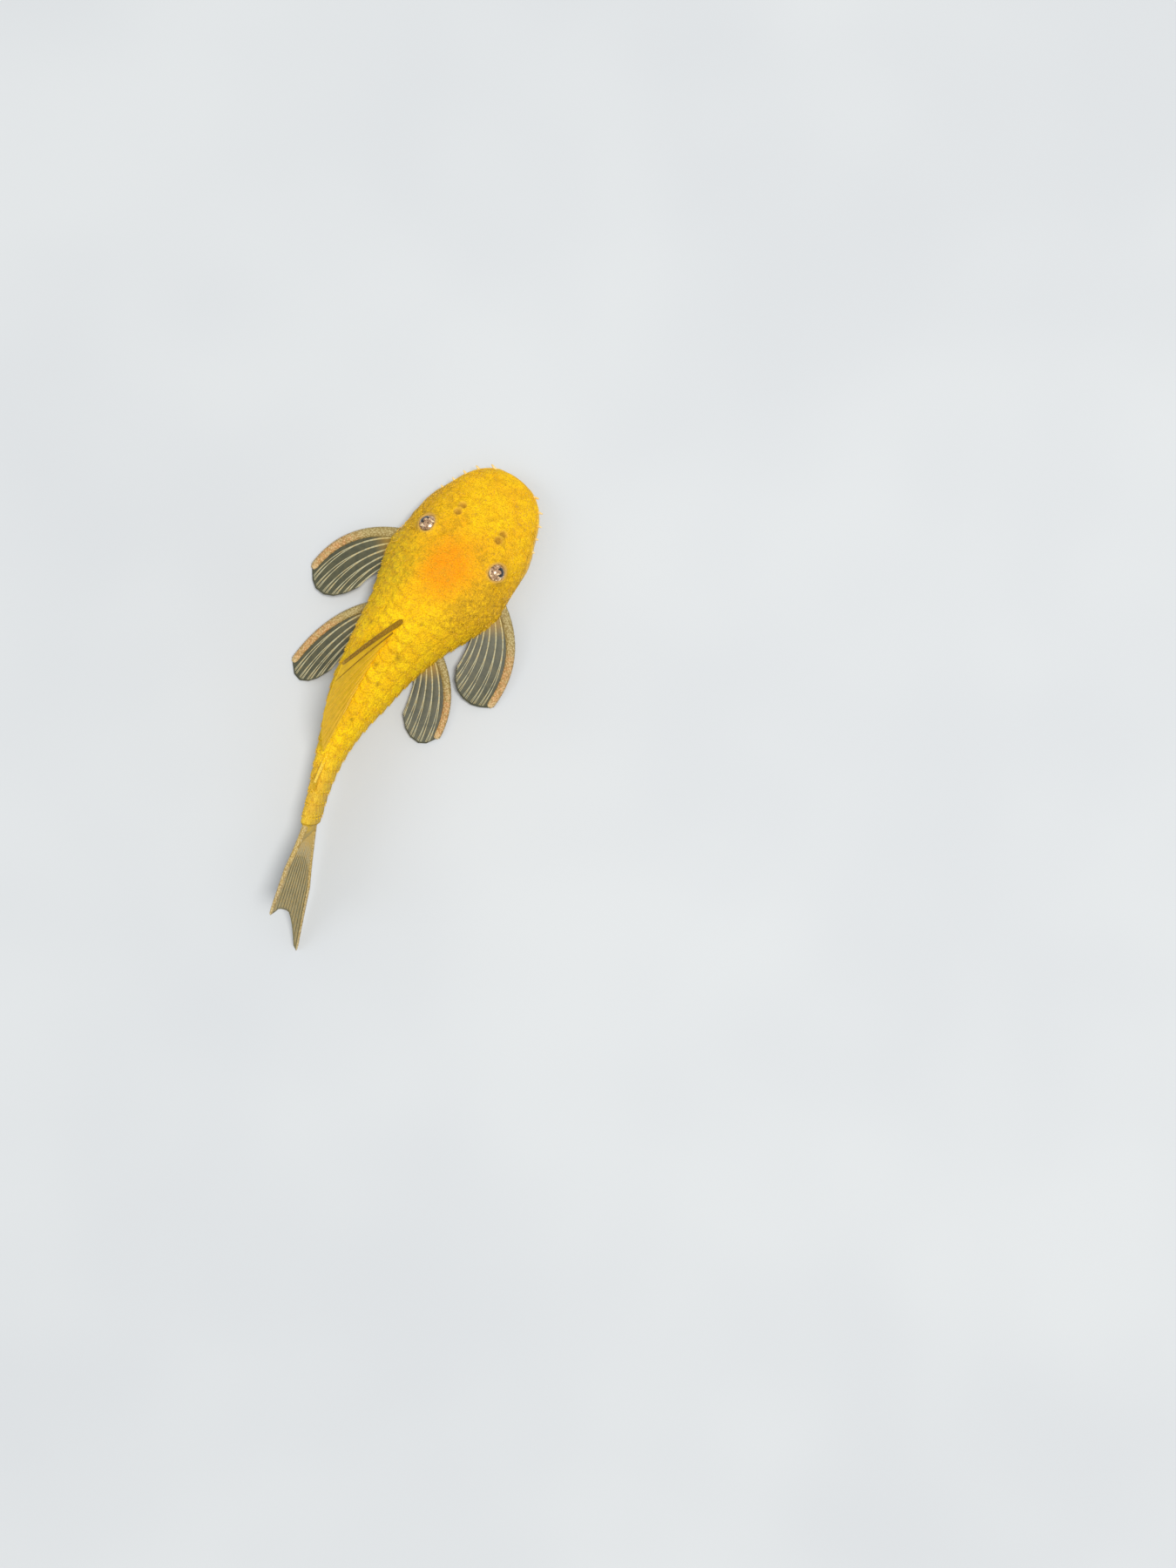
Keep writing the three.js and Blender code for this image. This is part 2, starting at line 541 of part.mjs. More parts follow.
const pleco = new THREE.Group();
pleco.add(node("head", head(), gold));
pleco.add(node("trunk", trunk, gold));
pleco.add(node("tail_stalk", stalk, gold));
pleco.add(node("mouth_disc", mouthDisc(), lipCream));
pleco.add(node("dorsal_fin", backFin(DORSAL, 1.2), finOlive));
pleco.add(node("adipose_fin", backFin(ADIPOSE, 0.8, 4), finOlive));
pleco.add(node("anal_fin", analFin(), finOlive));
pleco.add(node("tail_fin", tailFin(), finOlive));
for (const [name, side, pelvic] of [["left", 1, PELVIC_LEFT], ["right", -1, PELVIC_RIGHT]]) {
  pleco.add(node("eye_" + name, eyeBall(side, EYE.radius), eyeDark));
  pleco.add(node("barbel_" + name, barbel(side), lipCream));
  pleco.add(node("pectoral_fin_" + name, pairedFin(side, PECTORAL), finOlive));
  pleco.add(node("pelvic_fin_" + name, pairedFin(side, pelvic), finOlive));
}

export default pleco;
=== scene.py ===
"""A young gold bristlenose pleco, life size, at rest on its belly with its tail curved to its right.

The head is towards -Y and the fish's left side towards +X. Lengths are worked out in millimetres and put
into the meshes in metres. A station is a distance from the snout tip along the backbone."""

import math
import random

import bmesh
import bpy
import numpy as np
from mathutils import Matrix, Vector, noise


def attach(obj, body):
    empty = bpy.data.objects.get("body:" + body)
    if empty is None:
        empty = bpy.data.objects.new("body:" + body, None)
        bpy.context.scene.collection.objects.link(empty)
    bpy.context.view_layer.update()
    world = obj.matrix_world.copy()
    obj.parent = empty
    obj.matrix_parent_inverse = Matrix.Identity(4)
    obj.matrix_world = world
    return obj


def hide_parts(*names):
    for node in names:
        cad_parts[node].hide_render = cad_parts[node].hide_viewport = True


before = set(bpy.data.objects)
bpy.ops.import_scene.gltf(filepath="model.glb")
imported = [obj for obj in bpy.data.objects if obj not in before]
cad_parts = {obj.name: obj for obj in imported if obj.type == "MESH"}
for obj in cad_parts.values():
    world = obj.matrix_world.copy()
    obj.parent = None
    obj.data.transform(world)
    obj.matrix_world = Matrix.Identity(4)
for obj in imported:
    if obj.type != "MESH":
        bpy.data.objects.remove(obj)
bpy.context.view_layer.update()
dice = random.Random(11)

MM = 0.001
TURN = 2 * math.pi
UP = np.array([0.0, 0.0, 1.0])

# The backbone seen from above, as arcs: how far each runs, and how far it turns to the right, in degrees
BACKBONE = [(14, 0), (10, -3.5), (5, 0), (27, 24), (30, 3)]
ORIGIN_STATION = 25
TRUNK_END = 43.9
BODY_LENGTH = 60
# The skin ends over the root of the tail fin. Its mesh has this many rings behind the head, and spokes
SKIN_END = 63
SKIN_RINGS = 310
SKIN_SPOKES = 213

# Five rows of plates a side, parted at these turns round the body. Their rear edges rise and bow tailward
PLATES_START = 16.55
TRUNK_COLUMNS = 15
STALK_COLUMNS = 9
TRUNK_PITCH = (TRUNK_END - PLATES_START) / TRUNK_COLUMNS
STALK_PITCH = (BODY_LENGTH - TRUNK_END) / STALK_COLUMNS
PLATE_ROWS = np.array([0, 0.078, 0.15, 0.215, 0.275, 0.335])
PLATE_RISE = 0.3
PLATE_BOW = 0.5

# The eye's opening is an oval, its long way slanted to the midline; eyes and nostrils lie above FACE_TURN
EYE = {"station": 13.9, "out": 6.05, "radius": 1.75, "sunk": 0.95, "slant": 0.55, "squash": 0.8}
NOSTRIL = {"stations": (8.7, 9.9), "out": 3.6}
FACE_TURN = 0.26
BRISTLE_STATIONS = (0.9, 2.4, 4.1, 5.9, 7.8)
BRISTLE = {"turn": 0.235, "length": 0.95, "vanish": 16, "sunk": 0.6}
MOUTH = {"station": 8.1, "half_wide": 5.2, "half_long": 4.7, "level": 0.55}
TOOTH_BAR = {"out": 1.15, "half_wide": 0.92, "thick": 0.62, "teeth": 18}
# Small dark spots along the back: station, distance to the left and size
BACK_SPOTS = [
    (32.2, -2.6, 0.55), (34.8, -0.7, 0.4), (38.3, 1.4, 0.35), (41.1, 1.3, 0.3), (30.4, 3.4, 0.35),
    (37.2, -2.2, 0.3), (43.6, -1.3, 0.35), (26.2, -2.4, 0.3), (28.8, 0.9, 0.28), (47.2, 0.4, 0.3)]

# Fins: the web's thickness, and the shares of a ray over which the parts of a fin are laid
WEB_THICK = 0.06
WEB_SCALLOP = 0.002
WEB_TEAR = 0.008
RAY_START, RAY_END, WEB_END = 0.011, 0.989, 0.995
SPINE_SIDES = 20
SPINE_RINGS = 130


def profile(points):
    """A smooth curve through (place, value) points that never overshoots them."""
    at, value = np.array(points, float).T
    rise = np.diff(value) / np.diff(at)
    slope = np.zeros(len(at))
    agree = rise[:-1] * rise[1:] > 0
    slope[1:-1][agree] = (2 * rise[:-1] * rise[1:])[agree] / (rise[:-1] + rise[1:])[agree]

    def curve(x):
        x = np.clip(np.asarray(x, float), at[0], at[-1])
        i = np.clip(np.searchsorted(at, x, side="right") - 1, 0, len(at) - 2)
        span = at[i + 1] - at[i]
        t = (x - at[i]) / span
        ease = t * t * (3 - 2 * t)
        bend = slope[i] * t * (1 - t) ** 2 - slope[i + 1] * t * t * (1 - t)
        return value[i] * (1 - ease) + value[i + 1] * ease + span * bend

    return curve


half_width = profile(
    [(0, 0), (0.1, 1.2), (0.4, 2.4), (1, 3.7), (2.2, 5.2), (4.2, 6.6), (6.8, 7.7), (9, 8.6), (10.8, 9.05),
     (14, 9.25), (16.6, 9.5), (19, 9.4), (21, 9), (23, 8.3), (25, 7.6), (27, 6.85), (29.5, 6.2), (32, 5.65),
     (36, 4.85), (40, 4.15), (44, 3.1), (48, 2.15), (52, 1.5), (56, 1.05), (BODY_LENGTH, 0.85), (60.9, 0.6),
     (61.7, 0.36), (62.5, 0.16), (SKIN_END, 0)])
back_height = profile(
    [(0, 2.5), (0.1, 2.95), (0.4, 3.45), (1, 4), (2.2, 4.75), (4.3, 5.7), (8, 7.2), (12, 8.6), (16, 9.8),
     (20, 10.7), (24, 11.2), (28, 11.3), (31, 11), (34, 10.5), (38, 9.8), (42, 9.2), (46, 8.8), (50, 8.6),
     (54, 8.6), (57, 8.9), (60, 9.4)])
belly_height = profile(
    [(0, 2.5), (0.1, 2.2), (0.4, 1.95), (1, 1.8), (2.5, 1.75), (5, 1.8), (11, 1.8), (13.2, 1.5), (14.8, 0.6),
     (16.2, -0.3), (18, -0.6), (30, -0.6), (36, -0.4), (39, 0), (41, 0.35), (44, 1), (48, 1.8), (52, 2.1),
     (56, 2.1), (60, 1.7)])
widest_height = profile(
    [(0, 2.5), (1, 2.55), (4, 2.7), (10, 2.9), (18, 3), (28, 3.4), (36, 4), (44, 4.8), (52, 5.3), (60, 5.5)])
back_squareness = profile(
    [(0, 2), (6, 2.1), (14, 2.2), (20, 2.15), (28, 1.95), (36, 2), (44, 2.3), (52, 2.6), (60, 2.8)])
belly_squareness = profile([(0, 2.2), (6, 2.6), (16, 3), (36, 2.8), (44, 2.4), (60, 2.8)])


def walk_backbone(station):
    """Where the backbone is at each station, seen from above, and the way it heads there."""
    ahead = np.maximum(np.asarray(station, float), 0)
    x, y, heading = np.zeros_like(ahead), np.zeros_like(ahead), np.zeros_like(ahead)
    for run, turn in BACKBONE:
        step = np.clip(ahead, 0, run)
        bend = math.radians(turn) / run
        middle = heading + bend * step / 2
        chord = step * np.sinc(bend * step / TURN)
        x, y = x - chord * np.sin(middle), y + chord * np.cos(middle)
        heading = heading + bend * step
        ahead = ahead - run
    return x, y, heading


ORIGIN_X, ORIGIN_Y, ORIGIN_HEADING = (float(part) for part in walk_backbone(ORIGIN_STATION))


def backbone(station):
    """The spot on the backbone, the way to the tail and the way to the fish's left, at each station."""
    x, y, heading = walk_backbone(station)
    x, y, turned = x - ORIGIN_X, y - ORIGIN_Y, heading - ORIGIN_HEADING
    c, s = math.cos(-ORIGIN_HEADING), math.sin(-ORIGIN_HEADING)
    level = np.zeros_like(x)
    spot = np.stack([c * x - s * y, s * x + c * y, level], -1)
    tailward = np.stack([-np.sin(turned), np.cos(turned), level], -1)
    leftward = np.stack([np.cos(turned), np.sin(turned), level], -1)
    return spot, tailward, leftward


def place(station, left, height):
    """Points given by station, distance to the left of the backbone, and height."""
    station, left, height = np.broadcast_arrays(*(np.asarray(v, float) for v in (station, left, height)))
    spot, _, leftward = backbone(station)
    return spot + leftward * left[..., None] + UP * height[..., None]


def skin(station, turn, grow=0.0):
    """Points of the smooth body: a turn is 0 along the back, a quarter at the left side, a half below."""
    up, out = np.cos(turn * TURN), np.sin(turn * TURN)
    level = widest_height(station)
    rise = np.where(up > 0, back_height(station) - level, level - belly_height(station))
    power = 2 / np.where(up > 0, back_squareness(station), belly_squareness(station))
    left = (half_width(station) + grow) * np.sign(out) * np.abs(out) ** power
    height = level + (rise + grow) * np.sign(up) * np.abs(up) ** power
    return place(station, left, np.maximum(height, 0))


def on_skin(station, side, out):
    """A point on the upper side of the body at a distance out from the midline, and the way out there."""
    share = min(out / float(half_width(station)), 1) ** (float(back_squareness(station)) / 2)
    turn = side * math.asin(share) / TURN
    small = 0.02
    along = skin(station + small, turn) - skin(station - small, turn)
    around = skin(station, turn + small) - skin(station, turn - small)
    outward = np.cross(around, along)
    return skin(station, turn), outward / np.linalg.norm(outward)


def unit(ways):
    """The ways, each with length one."""
    length = np.linalg.norm(ways, axis=-1, keepdims=True)
    return ways / np.maximum(length, 1e-9)


def smooth(x, low, high):
    """From 0 at low to 1 at high, with soft ends."""
    t = np.clip((np.asarray(x, float) - low) / (high - low), 0, 1)
    return t * t * (3 - 2 * t)


def span(x, start, full, wane, end):
    """From 0 at start to 1 at full, and from 1 at wane back to 0 at end, with soft ends."""
    return smooth(x, start, full) * (1 - smooth(x, wane, end))


def hill(distance, reach):
    """A soft hill of height one."""
    return np.exp(-((np.asarray(distance, float) / reach) ** 2))


# Making and finishing meshes
def lay_sheet(bm, points, finish=0, marks=None):
    """Adds a sheet of faces with its corners at points[row, column] and marks as their values."""
    rows, columns = points.shape[:2]
    made = bmesh.ops.create_grid(bm, x_segments=columns - 1, y_segments=rows - 1, size=0.5, calc_uvs=True)
    corners = made["verts"]
    flat = np.array([corner.co for corner in corners])
    row = np.rint((flat[:, 1] + 0.5) * (rows - 1)).astype(int)
    column = np.rint((flat[:, 0] + 0.5) * (columns - 1)).astype(int)
    for corner, spot in zip(corners, points[row, column] * MM):
        corner.co = spot
    for name, values in (marks or {}).items():
        layer = bm.verts.layers.float[name]
        values = np.broadcast_to(values, (rows, columns))
        for corner, value in zip(corners, values[row, column]):
            corner[layer] = value
    faces = list(dict.fromkeys(face for corner in corners for face in corner.link_faces))
    for face in faces:
        face.material_index = finish
    return faces


def lay_tube(bm, centres, across, normal, wide, thick, sides=8, finish=0, relief=None, marks=None):
    """Adds a closed tube of oval section along centres. relief swells each ring's corners by a share."""
    angle = np.linspace(0, TURN, sides + 1)
    round_x, round_y = np.sin(angle)[None, :, None], np.cos(angle)[None, :, None]
    swell = 1 if relief is None else (1 + relief)[..., None]
    half_wide, half_thick = (np.asarray(wide) / 2)[:, None, None], (np.asarray(thick) / 2)[:, None, None]
    ring = across[:, None] * round_x * half_wide + normal[:, None] * round_y * half_thick
    return lay_sheet(bm, centres[:, None] + ring * swell, finish, marks)


def lay_thorns(bm, roots, ways, length, thick, finish=0):
    """Adds small pointed cones, each with its root sunk into what carries it."""
    for root, way, long in zip(roots, ways, np.broadcast_to(length, len(roots))):
        turned = Vector(way).to_track_quat("Z", "Y").to_matrix().to_4x4()
        middle = Matrix.Translation(Vector((root + way * long * 0.3) * MM)) @ turned
        made = bmesh.ops.create_cone(
            bm, cap_ends=True, segments=4, radius1=thick / 2 * MM, radius2=thick / 12 * MM, depth=long * MM,
            matrix=middle)
        for face in {face for corner in made["verts"] for face in corner.link_faces}:
            face.material_index = finish


def new_mesh(*marks):
    """An empty mesh with room for UVs and for these marks on its corners."""
    bm = bmesh.new()
    bm.loops.layers.uv.new("UVMap")
    for name in marks:
        bm.verts.layers.float.new(name)
    return bm


def add_object(name, data):
    made = bpy.data.objects.new(name, data)
    bpy.context.scene.collection.objects.link(made)
    return made


def finished(name, bm, finishes, replaces=()):
    """Closes seams, turns the faces outward and hands the piece over to the frame."""
    bmesh.ops.remove_doubles(bm, verts=bm.verts, dist=0.002 * MM)
    bmesh.ops.recalc_face_normals(bm, faces=bm.faces)
    for face in bm.faces:
        face.smooth = True
    mesh = bpy.data.meshes.new(name)
    bm.to_mesh(mesh)
    bm.free()
    for finish in finishes:
        mesh.materials.append(finish)
    piece = add_object(name, mesh)
    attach(piece, "root")
    if replaces:
        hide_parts(*replaces)
    return piece


class Paint:
    """A material, with a small set of tools that chain its nodes. Lengths are in millimetres."""

    def __init__(self, name, roughness, specular=0.4, coat=0.0, coat_roughness=0.1):
        self.material = bpy.data.materials.new(name)
        self.material.use_nodes = True
        self.tree = self.material.node_tree
        self.shader = self.tree.nodes["Principled BSDF"]
        for name, value in (("Roughness", roughness), ("Specular IOR Level", specular), ("Coat Weight", coat),
                            ("Coat Roughness", coat_roughness)):
            self.shader.inputs[name].default_value = value
        coordinates = self.tree.nodes.new("ShaderNodeTexCoord")
        mapping = self.tree.nodes.new("ShaderNodeMapping")
        mapping.inputs["Scale"].default_value = (1 / MM,) * 3
        self.join(coordinates.outputs["Object"], mapping.inputs["Vector"])
        self.millimetres = mapping.outputs["Vector"]
        self.uv = coordinates.outputs["UV"]

    def join(self, source, socket):
        """Feeds a socket from another, or sets it to a number or a colour."""
        if hasattr(source, "is_output"):
            self.tree.links.new(source, socket)
        else:
            socket.default_value = (*source, 1) if hasattr(source, "__len__") else source

    def node(self, kind, feeds, result, **settings):
        """Adds a node with these settings and feeds, and gives the socket with its result."""
        node = self.tree.nodes.new("ShaderNode" + kind)
        for name, value in settings.items():
            setattr(node, name, value)
        for socket, source in feeds.items():
            self.join(source, node.inputs[socket])
        return node.outputs[result]

    def math(self, operation, a, b=0.0):
        return self.node("Math", {0: a, 1: b}, 0, operation=operation)

    def mark(self, name):
        return self.node("Attribute", {}, "Fac", attribute_name=name)

    def noise(self, size, detail=2.0, roughness=0.55):
        """Soft noise from 0 to 1 with lumps about size across."""
        feeds = {"Vector": self.millimetres, "Scale": 1 / size, "Detail": detail, "Roughness": roughness}
        return self.node("TexNoise", feeds, "Fac")

    def grains(self, size):
        """Distance from the middles of grains about size across, as a share of the size."""
        return self.node("TexVoronoi", {"Vector": self.millimetres, "Scale": 1 / size}, "Distance")

    def stretched(self, value, low, high, to_low=0.0, to_high=1.0):
        """The value, with its range from low to high made to run softly from to_low to to_high."""
        feeds = {"Value": value, "From Min": low, "From Max": high, "To Min": to_low, "To Max": to_high}
        return self.node("MapRange", feeds, "Result", interpolation_type="SMOOTHSTEP")

    def blend(self, share, a, b):
        """Colour a where the share is 0, colour b where it is 1."""
        return self.node("Mix", {"Factor": share, "A": a, "B": b}, 2, data_type="RGBA")

    def layers(self, colour, *coats):
        """The colour with coats laid over it, each a share and a tint."""
        for share, tint in coats:
            colour = self.blend(share, colour, tint)
        return colour

    def bump(self, height, rise, under=None):
        """Relief that rises this far where the height is 1, on top of the relief under it."""
        feeds = {"Height": height, "Distance": rise * MM, "Strength": 1}
        if under is not None:
            feeds["Normal"] = under
        return self.node("Bump", feeds, "Normal")

    def done(self, colour, normal=None):
        self.join(colour, self.shader.inputs["Base Color"])
        if normal is not None:
            self.join(normal, self.shader.inputs["Normal"])
        return self.material


# Colours, as light that comes back
YELLOW = (0.93, 0.54, 0.001)
LEMON = (1.0, 0.66, 0.002)
GOLD = (0.88, 0.46, 0.005)
AMBER = (1.0, 0.285, 0.0)
OCHRE = (0.52, 0.28, 0.008)
OLIVE = (0.58, 0.43, 0.012)
BROWN = (0.16, 0.085, 0.004)
CREAM = (0.8, 0.64, 0.34)
TAN = (0.5, 0.3, 0.09)
KHAKI = (0.42, 0.31, 0.1)
THORN_TAN = (0.72, 0.42, 0.05)
NUB_TAN = (0.8, 0.5, 0.12)
LIP_CREAM, LIP_PINK, LIP_BEAD = (0.8, 0.6, 0.36), (0.74, 0.42, 0.26), (0.92, 0.78, 0.55)
HORN_DARK, HORN_PALE = (0.45, 0.16, 0.03), (0.75, 0.5, 0.2)
IRIS_TAN, IRIS_DARK, IRIS_PALE = (0.46, 0.28, 0.16), (0.14, 0.075, 0.03), (0.82, 0.62, 0.36)
IRIS_RIM, PUPIL_BLACK = (0.12, 0.065, 0.02), (0.006, 0.005, 0.006)
FLOOR_GREY, FLOOR_PALE = (0.53, 0.55, 0.57), (0.56, 0.58, 0.595)


def gold_skin():
    """Grainy yellow skin. Marks on the mesh say where each tint and each painted shade lies, and noise breaks up
    their edges.
    """
    paint = Paint("gold_skin", roughness=0.5, specular=0.12)
    cloud = paint.noise(2.6, 3)
    blotch = paint.noise(1.1, 4, 0.6)
    speckle = paint.noise(0.5, 3, 0.65)
    fine = paint.noise(0.18, 2, 0.7)
    grains = paint.grains(0.21)

    def broken(mark, texture, *stretch):
        return paint.math("MULTIPLY", paint.mark(mark), paint.stretched(texture, *stretch))

    colour = paint.layers(
        YELLOW,
        (paint.stretched(cloud, 0.38, 0.6), LEMON),
        (broken("gold", cloud, 0.35, 0.6, 1, 0.55), GOLD),
        (paint.mark("amber"), AMBER),
        # ochre: real ochre patches, plus painted shade on the left side of the head
        (broken("ochre", speckle, 0.38, 0.58, 0.3, 1), OCHRE),
        # olive: real olive tint, plus a painted shadow of the back fin on the left shoulder and back
        (broken("olive", speckle, 0.36, 0.6, 0.35, 1), OLIVE),
        (broken("mottle", blotch, 0.44, 0.62, 0, 1), OCHRE),
        (broken("mottle", speckle, 0.52, 0.68, 0, 0.8), BROWN),
        # painted shade in the grooves between plates, the skull's seams, the gill cover's edge and the gill slit
        (paint.math("MULTIPLY", paint.mark("groove_shade"), 0.45), OCHRE),
        (paint.mark("belly"), CREAM),
        (paint.mark("fin_base"), KHAKI),
        (paint.mark("eyelid"), TAN),
        # real dark spots, and painted shade in the nostrils
        (paint.mark("fleck_and_pit_shade"), BROWN),
        (broken("grain", grains, 0.08, 0.42, 0.5, 0), LEMON),
        (broken("grain", grains, 0.4, 0.75, 0, 0.5), OCHRE),
        (paint.stretched(fine, 0.25, 0.6, 0.3, 0), OCHRE))
    grain_height = paint.math("MULTIPLY", paint.math("SUBTRACT", 1, grains), paint.mark("grain"))
    normal = paint.bump(paint.noise(0.36, 3, 0.65), 0.07, paint.bump(grain_height, 0.1))
    return paint.done(colour, normal)


def denticle_tips():
    paint = Paint("denticle_tips", roughness=0.35, specular=0.5)
    return paint.done(paint.blend(paint.stretched(paint.noise(1.5), 0.35, 0.65), THORN_TAN, LEMON))


def bristle_flesh():
    paint = Paint("bristle_flesh", roughness=0.4)
    colour = paint.blend(paint.stretched(paint.noise(0.4), 0.35, 0.65), NUB_TAN, CREAM)
    return paint.done(colour, paint.bump(paint.noise(0.15), 0.03))


def fin_web(name, tint, alpha, streak, root=OCHRE):
    """Thin skin between the rays, see-through but for its root, where it also takes the root's tint."""
    paint = Paint(name, roughness=0.45, specular=0.25)
    along = paint.mark("along")
    paint.join(paint.stretched(along, 0.2, 0.5, 1, alpha), paint.shader.inputs["Alpha"])
    colour = paint.layers(
        tint, (paint.stretched(paint.noise(0.9, 3, 0.65), 0.36, 0.64, 0, 0.7), streak),
        (paint.stretched(along, 0, 0.3, 0.7, 0), root))
    return paint.done(colour, paint.bump(paint.noise(0.2), 0.02))


def fin_ray(name, tint, root):
    """Bony rays made of short joints, with the root's tint where they leave the body."""
    paint = Paint(name, roughness=0.45)
    along = paint.mark("along")
    joints = paint.math("PINGPONG", paint.math("MULTIPLY", along, 26), 0.5)
    colour = paint.layers(
        tint, (paint.stretched(along, 0, 0.35, 0.85, 0), root),
        (paint.stretched(paint.noise(0.5), 0.4, 0.7, 0, 0.35), OCHRE),
        (paint.stretched(joints, 0, 0.1, 0.35, 0), BROWN))
    return paint.done(colour, paint.bump(paint.noise(0.15), 0.02))


def fin_spine(name, tint, middle, bead, between=BROWN):
    """A stout first ray, rough with tiny beads, with its own tint further out and a pale tip."""
    paint = Paint(name, roughness=0.5, specular=0.25)
    along, blotch, grains = paint.mark("along"), paint.noise(0.6, 3, 0.65), paint.grains(0.26)
    outer = paint.math("MULTIPLY", paint.stretched(along, 0.3, 0.6), paint.stretched(blotch, 0.36, 0.6, 0.35, 1))
    colour = paint.layers(
        tint, (outer, middle),
        (paint.stretched(along, 0.88, 1, 0, 0.6), bead),
        (paint.stretched(grains, 0.1, 0.45, 0.75, 0), bead),
        (paint.stretched(grains, 0.4, 0.75, 0, 0.45), between))
    return paint.done(colour, paint.bump(paint.math("SUBTRACT", 1, grains), 0.09))


def iris_and_pupil():
    """An iris whose pupil is cut into by a lobe from above, as this fish has.

    The UV runs from 0 to 1 across the ball as the eye looks at you, with the fish's back upward."""
    paint = Paint("iris_and_pupil", roughness=0.25, specular=0.4, coat=0.5, coat_roughness=0.04)
    uv = [paint.node("SeparateXYZ", {0: paint.uv}, way) for way in (0, 1)]
    across, upward = (paint.math("MULTIPLY", paint.math("SUBTRACT", part, 0.5), 2) for part in uv)

    def oval(x, y, wide, tall):
        """The distance from the middle of an oval, 1 at its edge."""
        dx = paint.math("DIVIDE", paint.math("SUBTRACT", across, x), wide)
        dy = paint.math("DIVIDE", paint.math("SUBTRACT", upward, y), tall)
        squares = paint.math("ADD", paint.math("MULTIPLY", dx, dx), paint.math("MULTIPLY", dy, dy))
        return paint.math("SQRT", squares)

    pupil = paint.stretched(oval(0.05, -0.2, 0.4, 0.36), 0.92, 1.06, 1, 0)
    lobe = paint.stretched(oval(0, 0.04, 0.2, 0.27), 0.85, 1.1, 1, 0)
    dark = paint.math("MULTIPLY", pupil, paint.math("SUBTRACT", 1, lobe))
    return paint.done(paint.layers(
        IRIS_TAN,
        (paint.stretched(paint.noise(0.34, 3, 0.7), 0.42, 0.6), IRIS_DARK),
        (paint.stretched(paint.noise(0.5, 2), 0.53, 0.62), IRIS_PALE),
        (paint.stretched(oval(0, 0, 0.78, 0.78), 0.84, 1), IRIS_RIM),
        (dark, PUPIL_BLACK)))


def lip_flesh():
    paint = Paint("lip_flesh", roughness=0.45)
    colour = paint.layers(
        LIP_CREAM, (paint.stretched(paint.noise(1.2, 3), 0.4, 0.65), LIP_PINK), (paint.mark("papilla"), LIP_BEAD))
    return paint.done(colour, paint.bump(paint.noise(0.12), 0.02))


def tooth_horn():
    paint = Paint("tooth_horn", roughness=0.3, specular=0.5)
    return paint.done(paint.blend(paint.stretched(paint.noise(0.3), 0.4, 0.6), HORN_DARK, HORN_PALE))


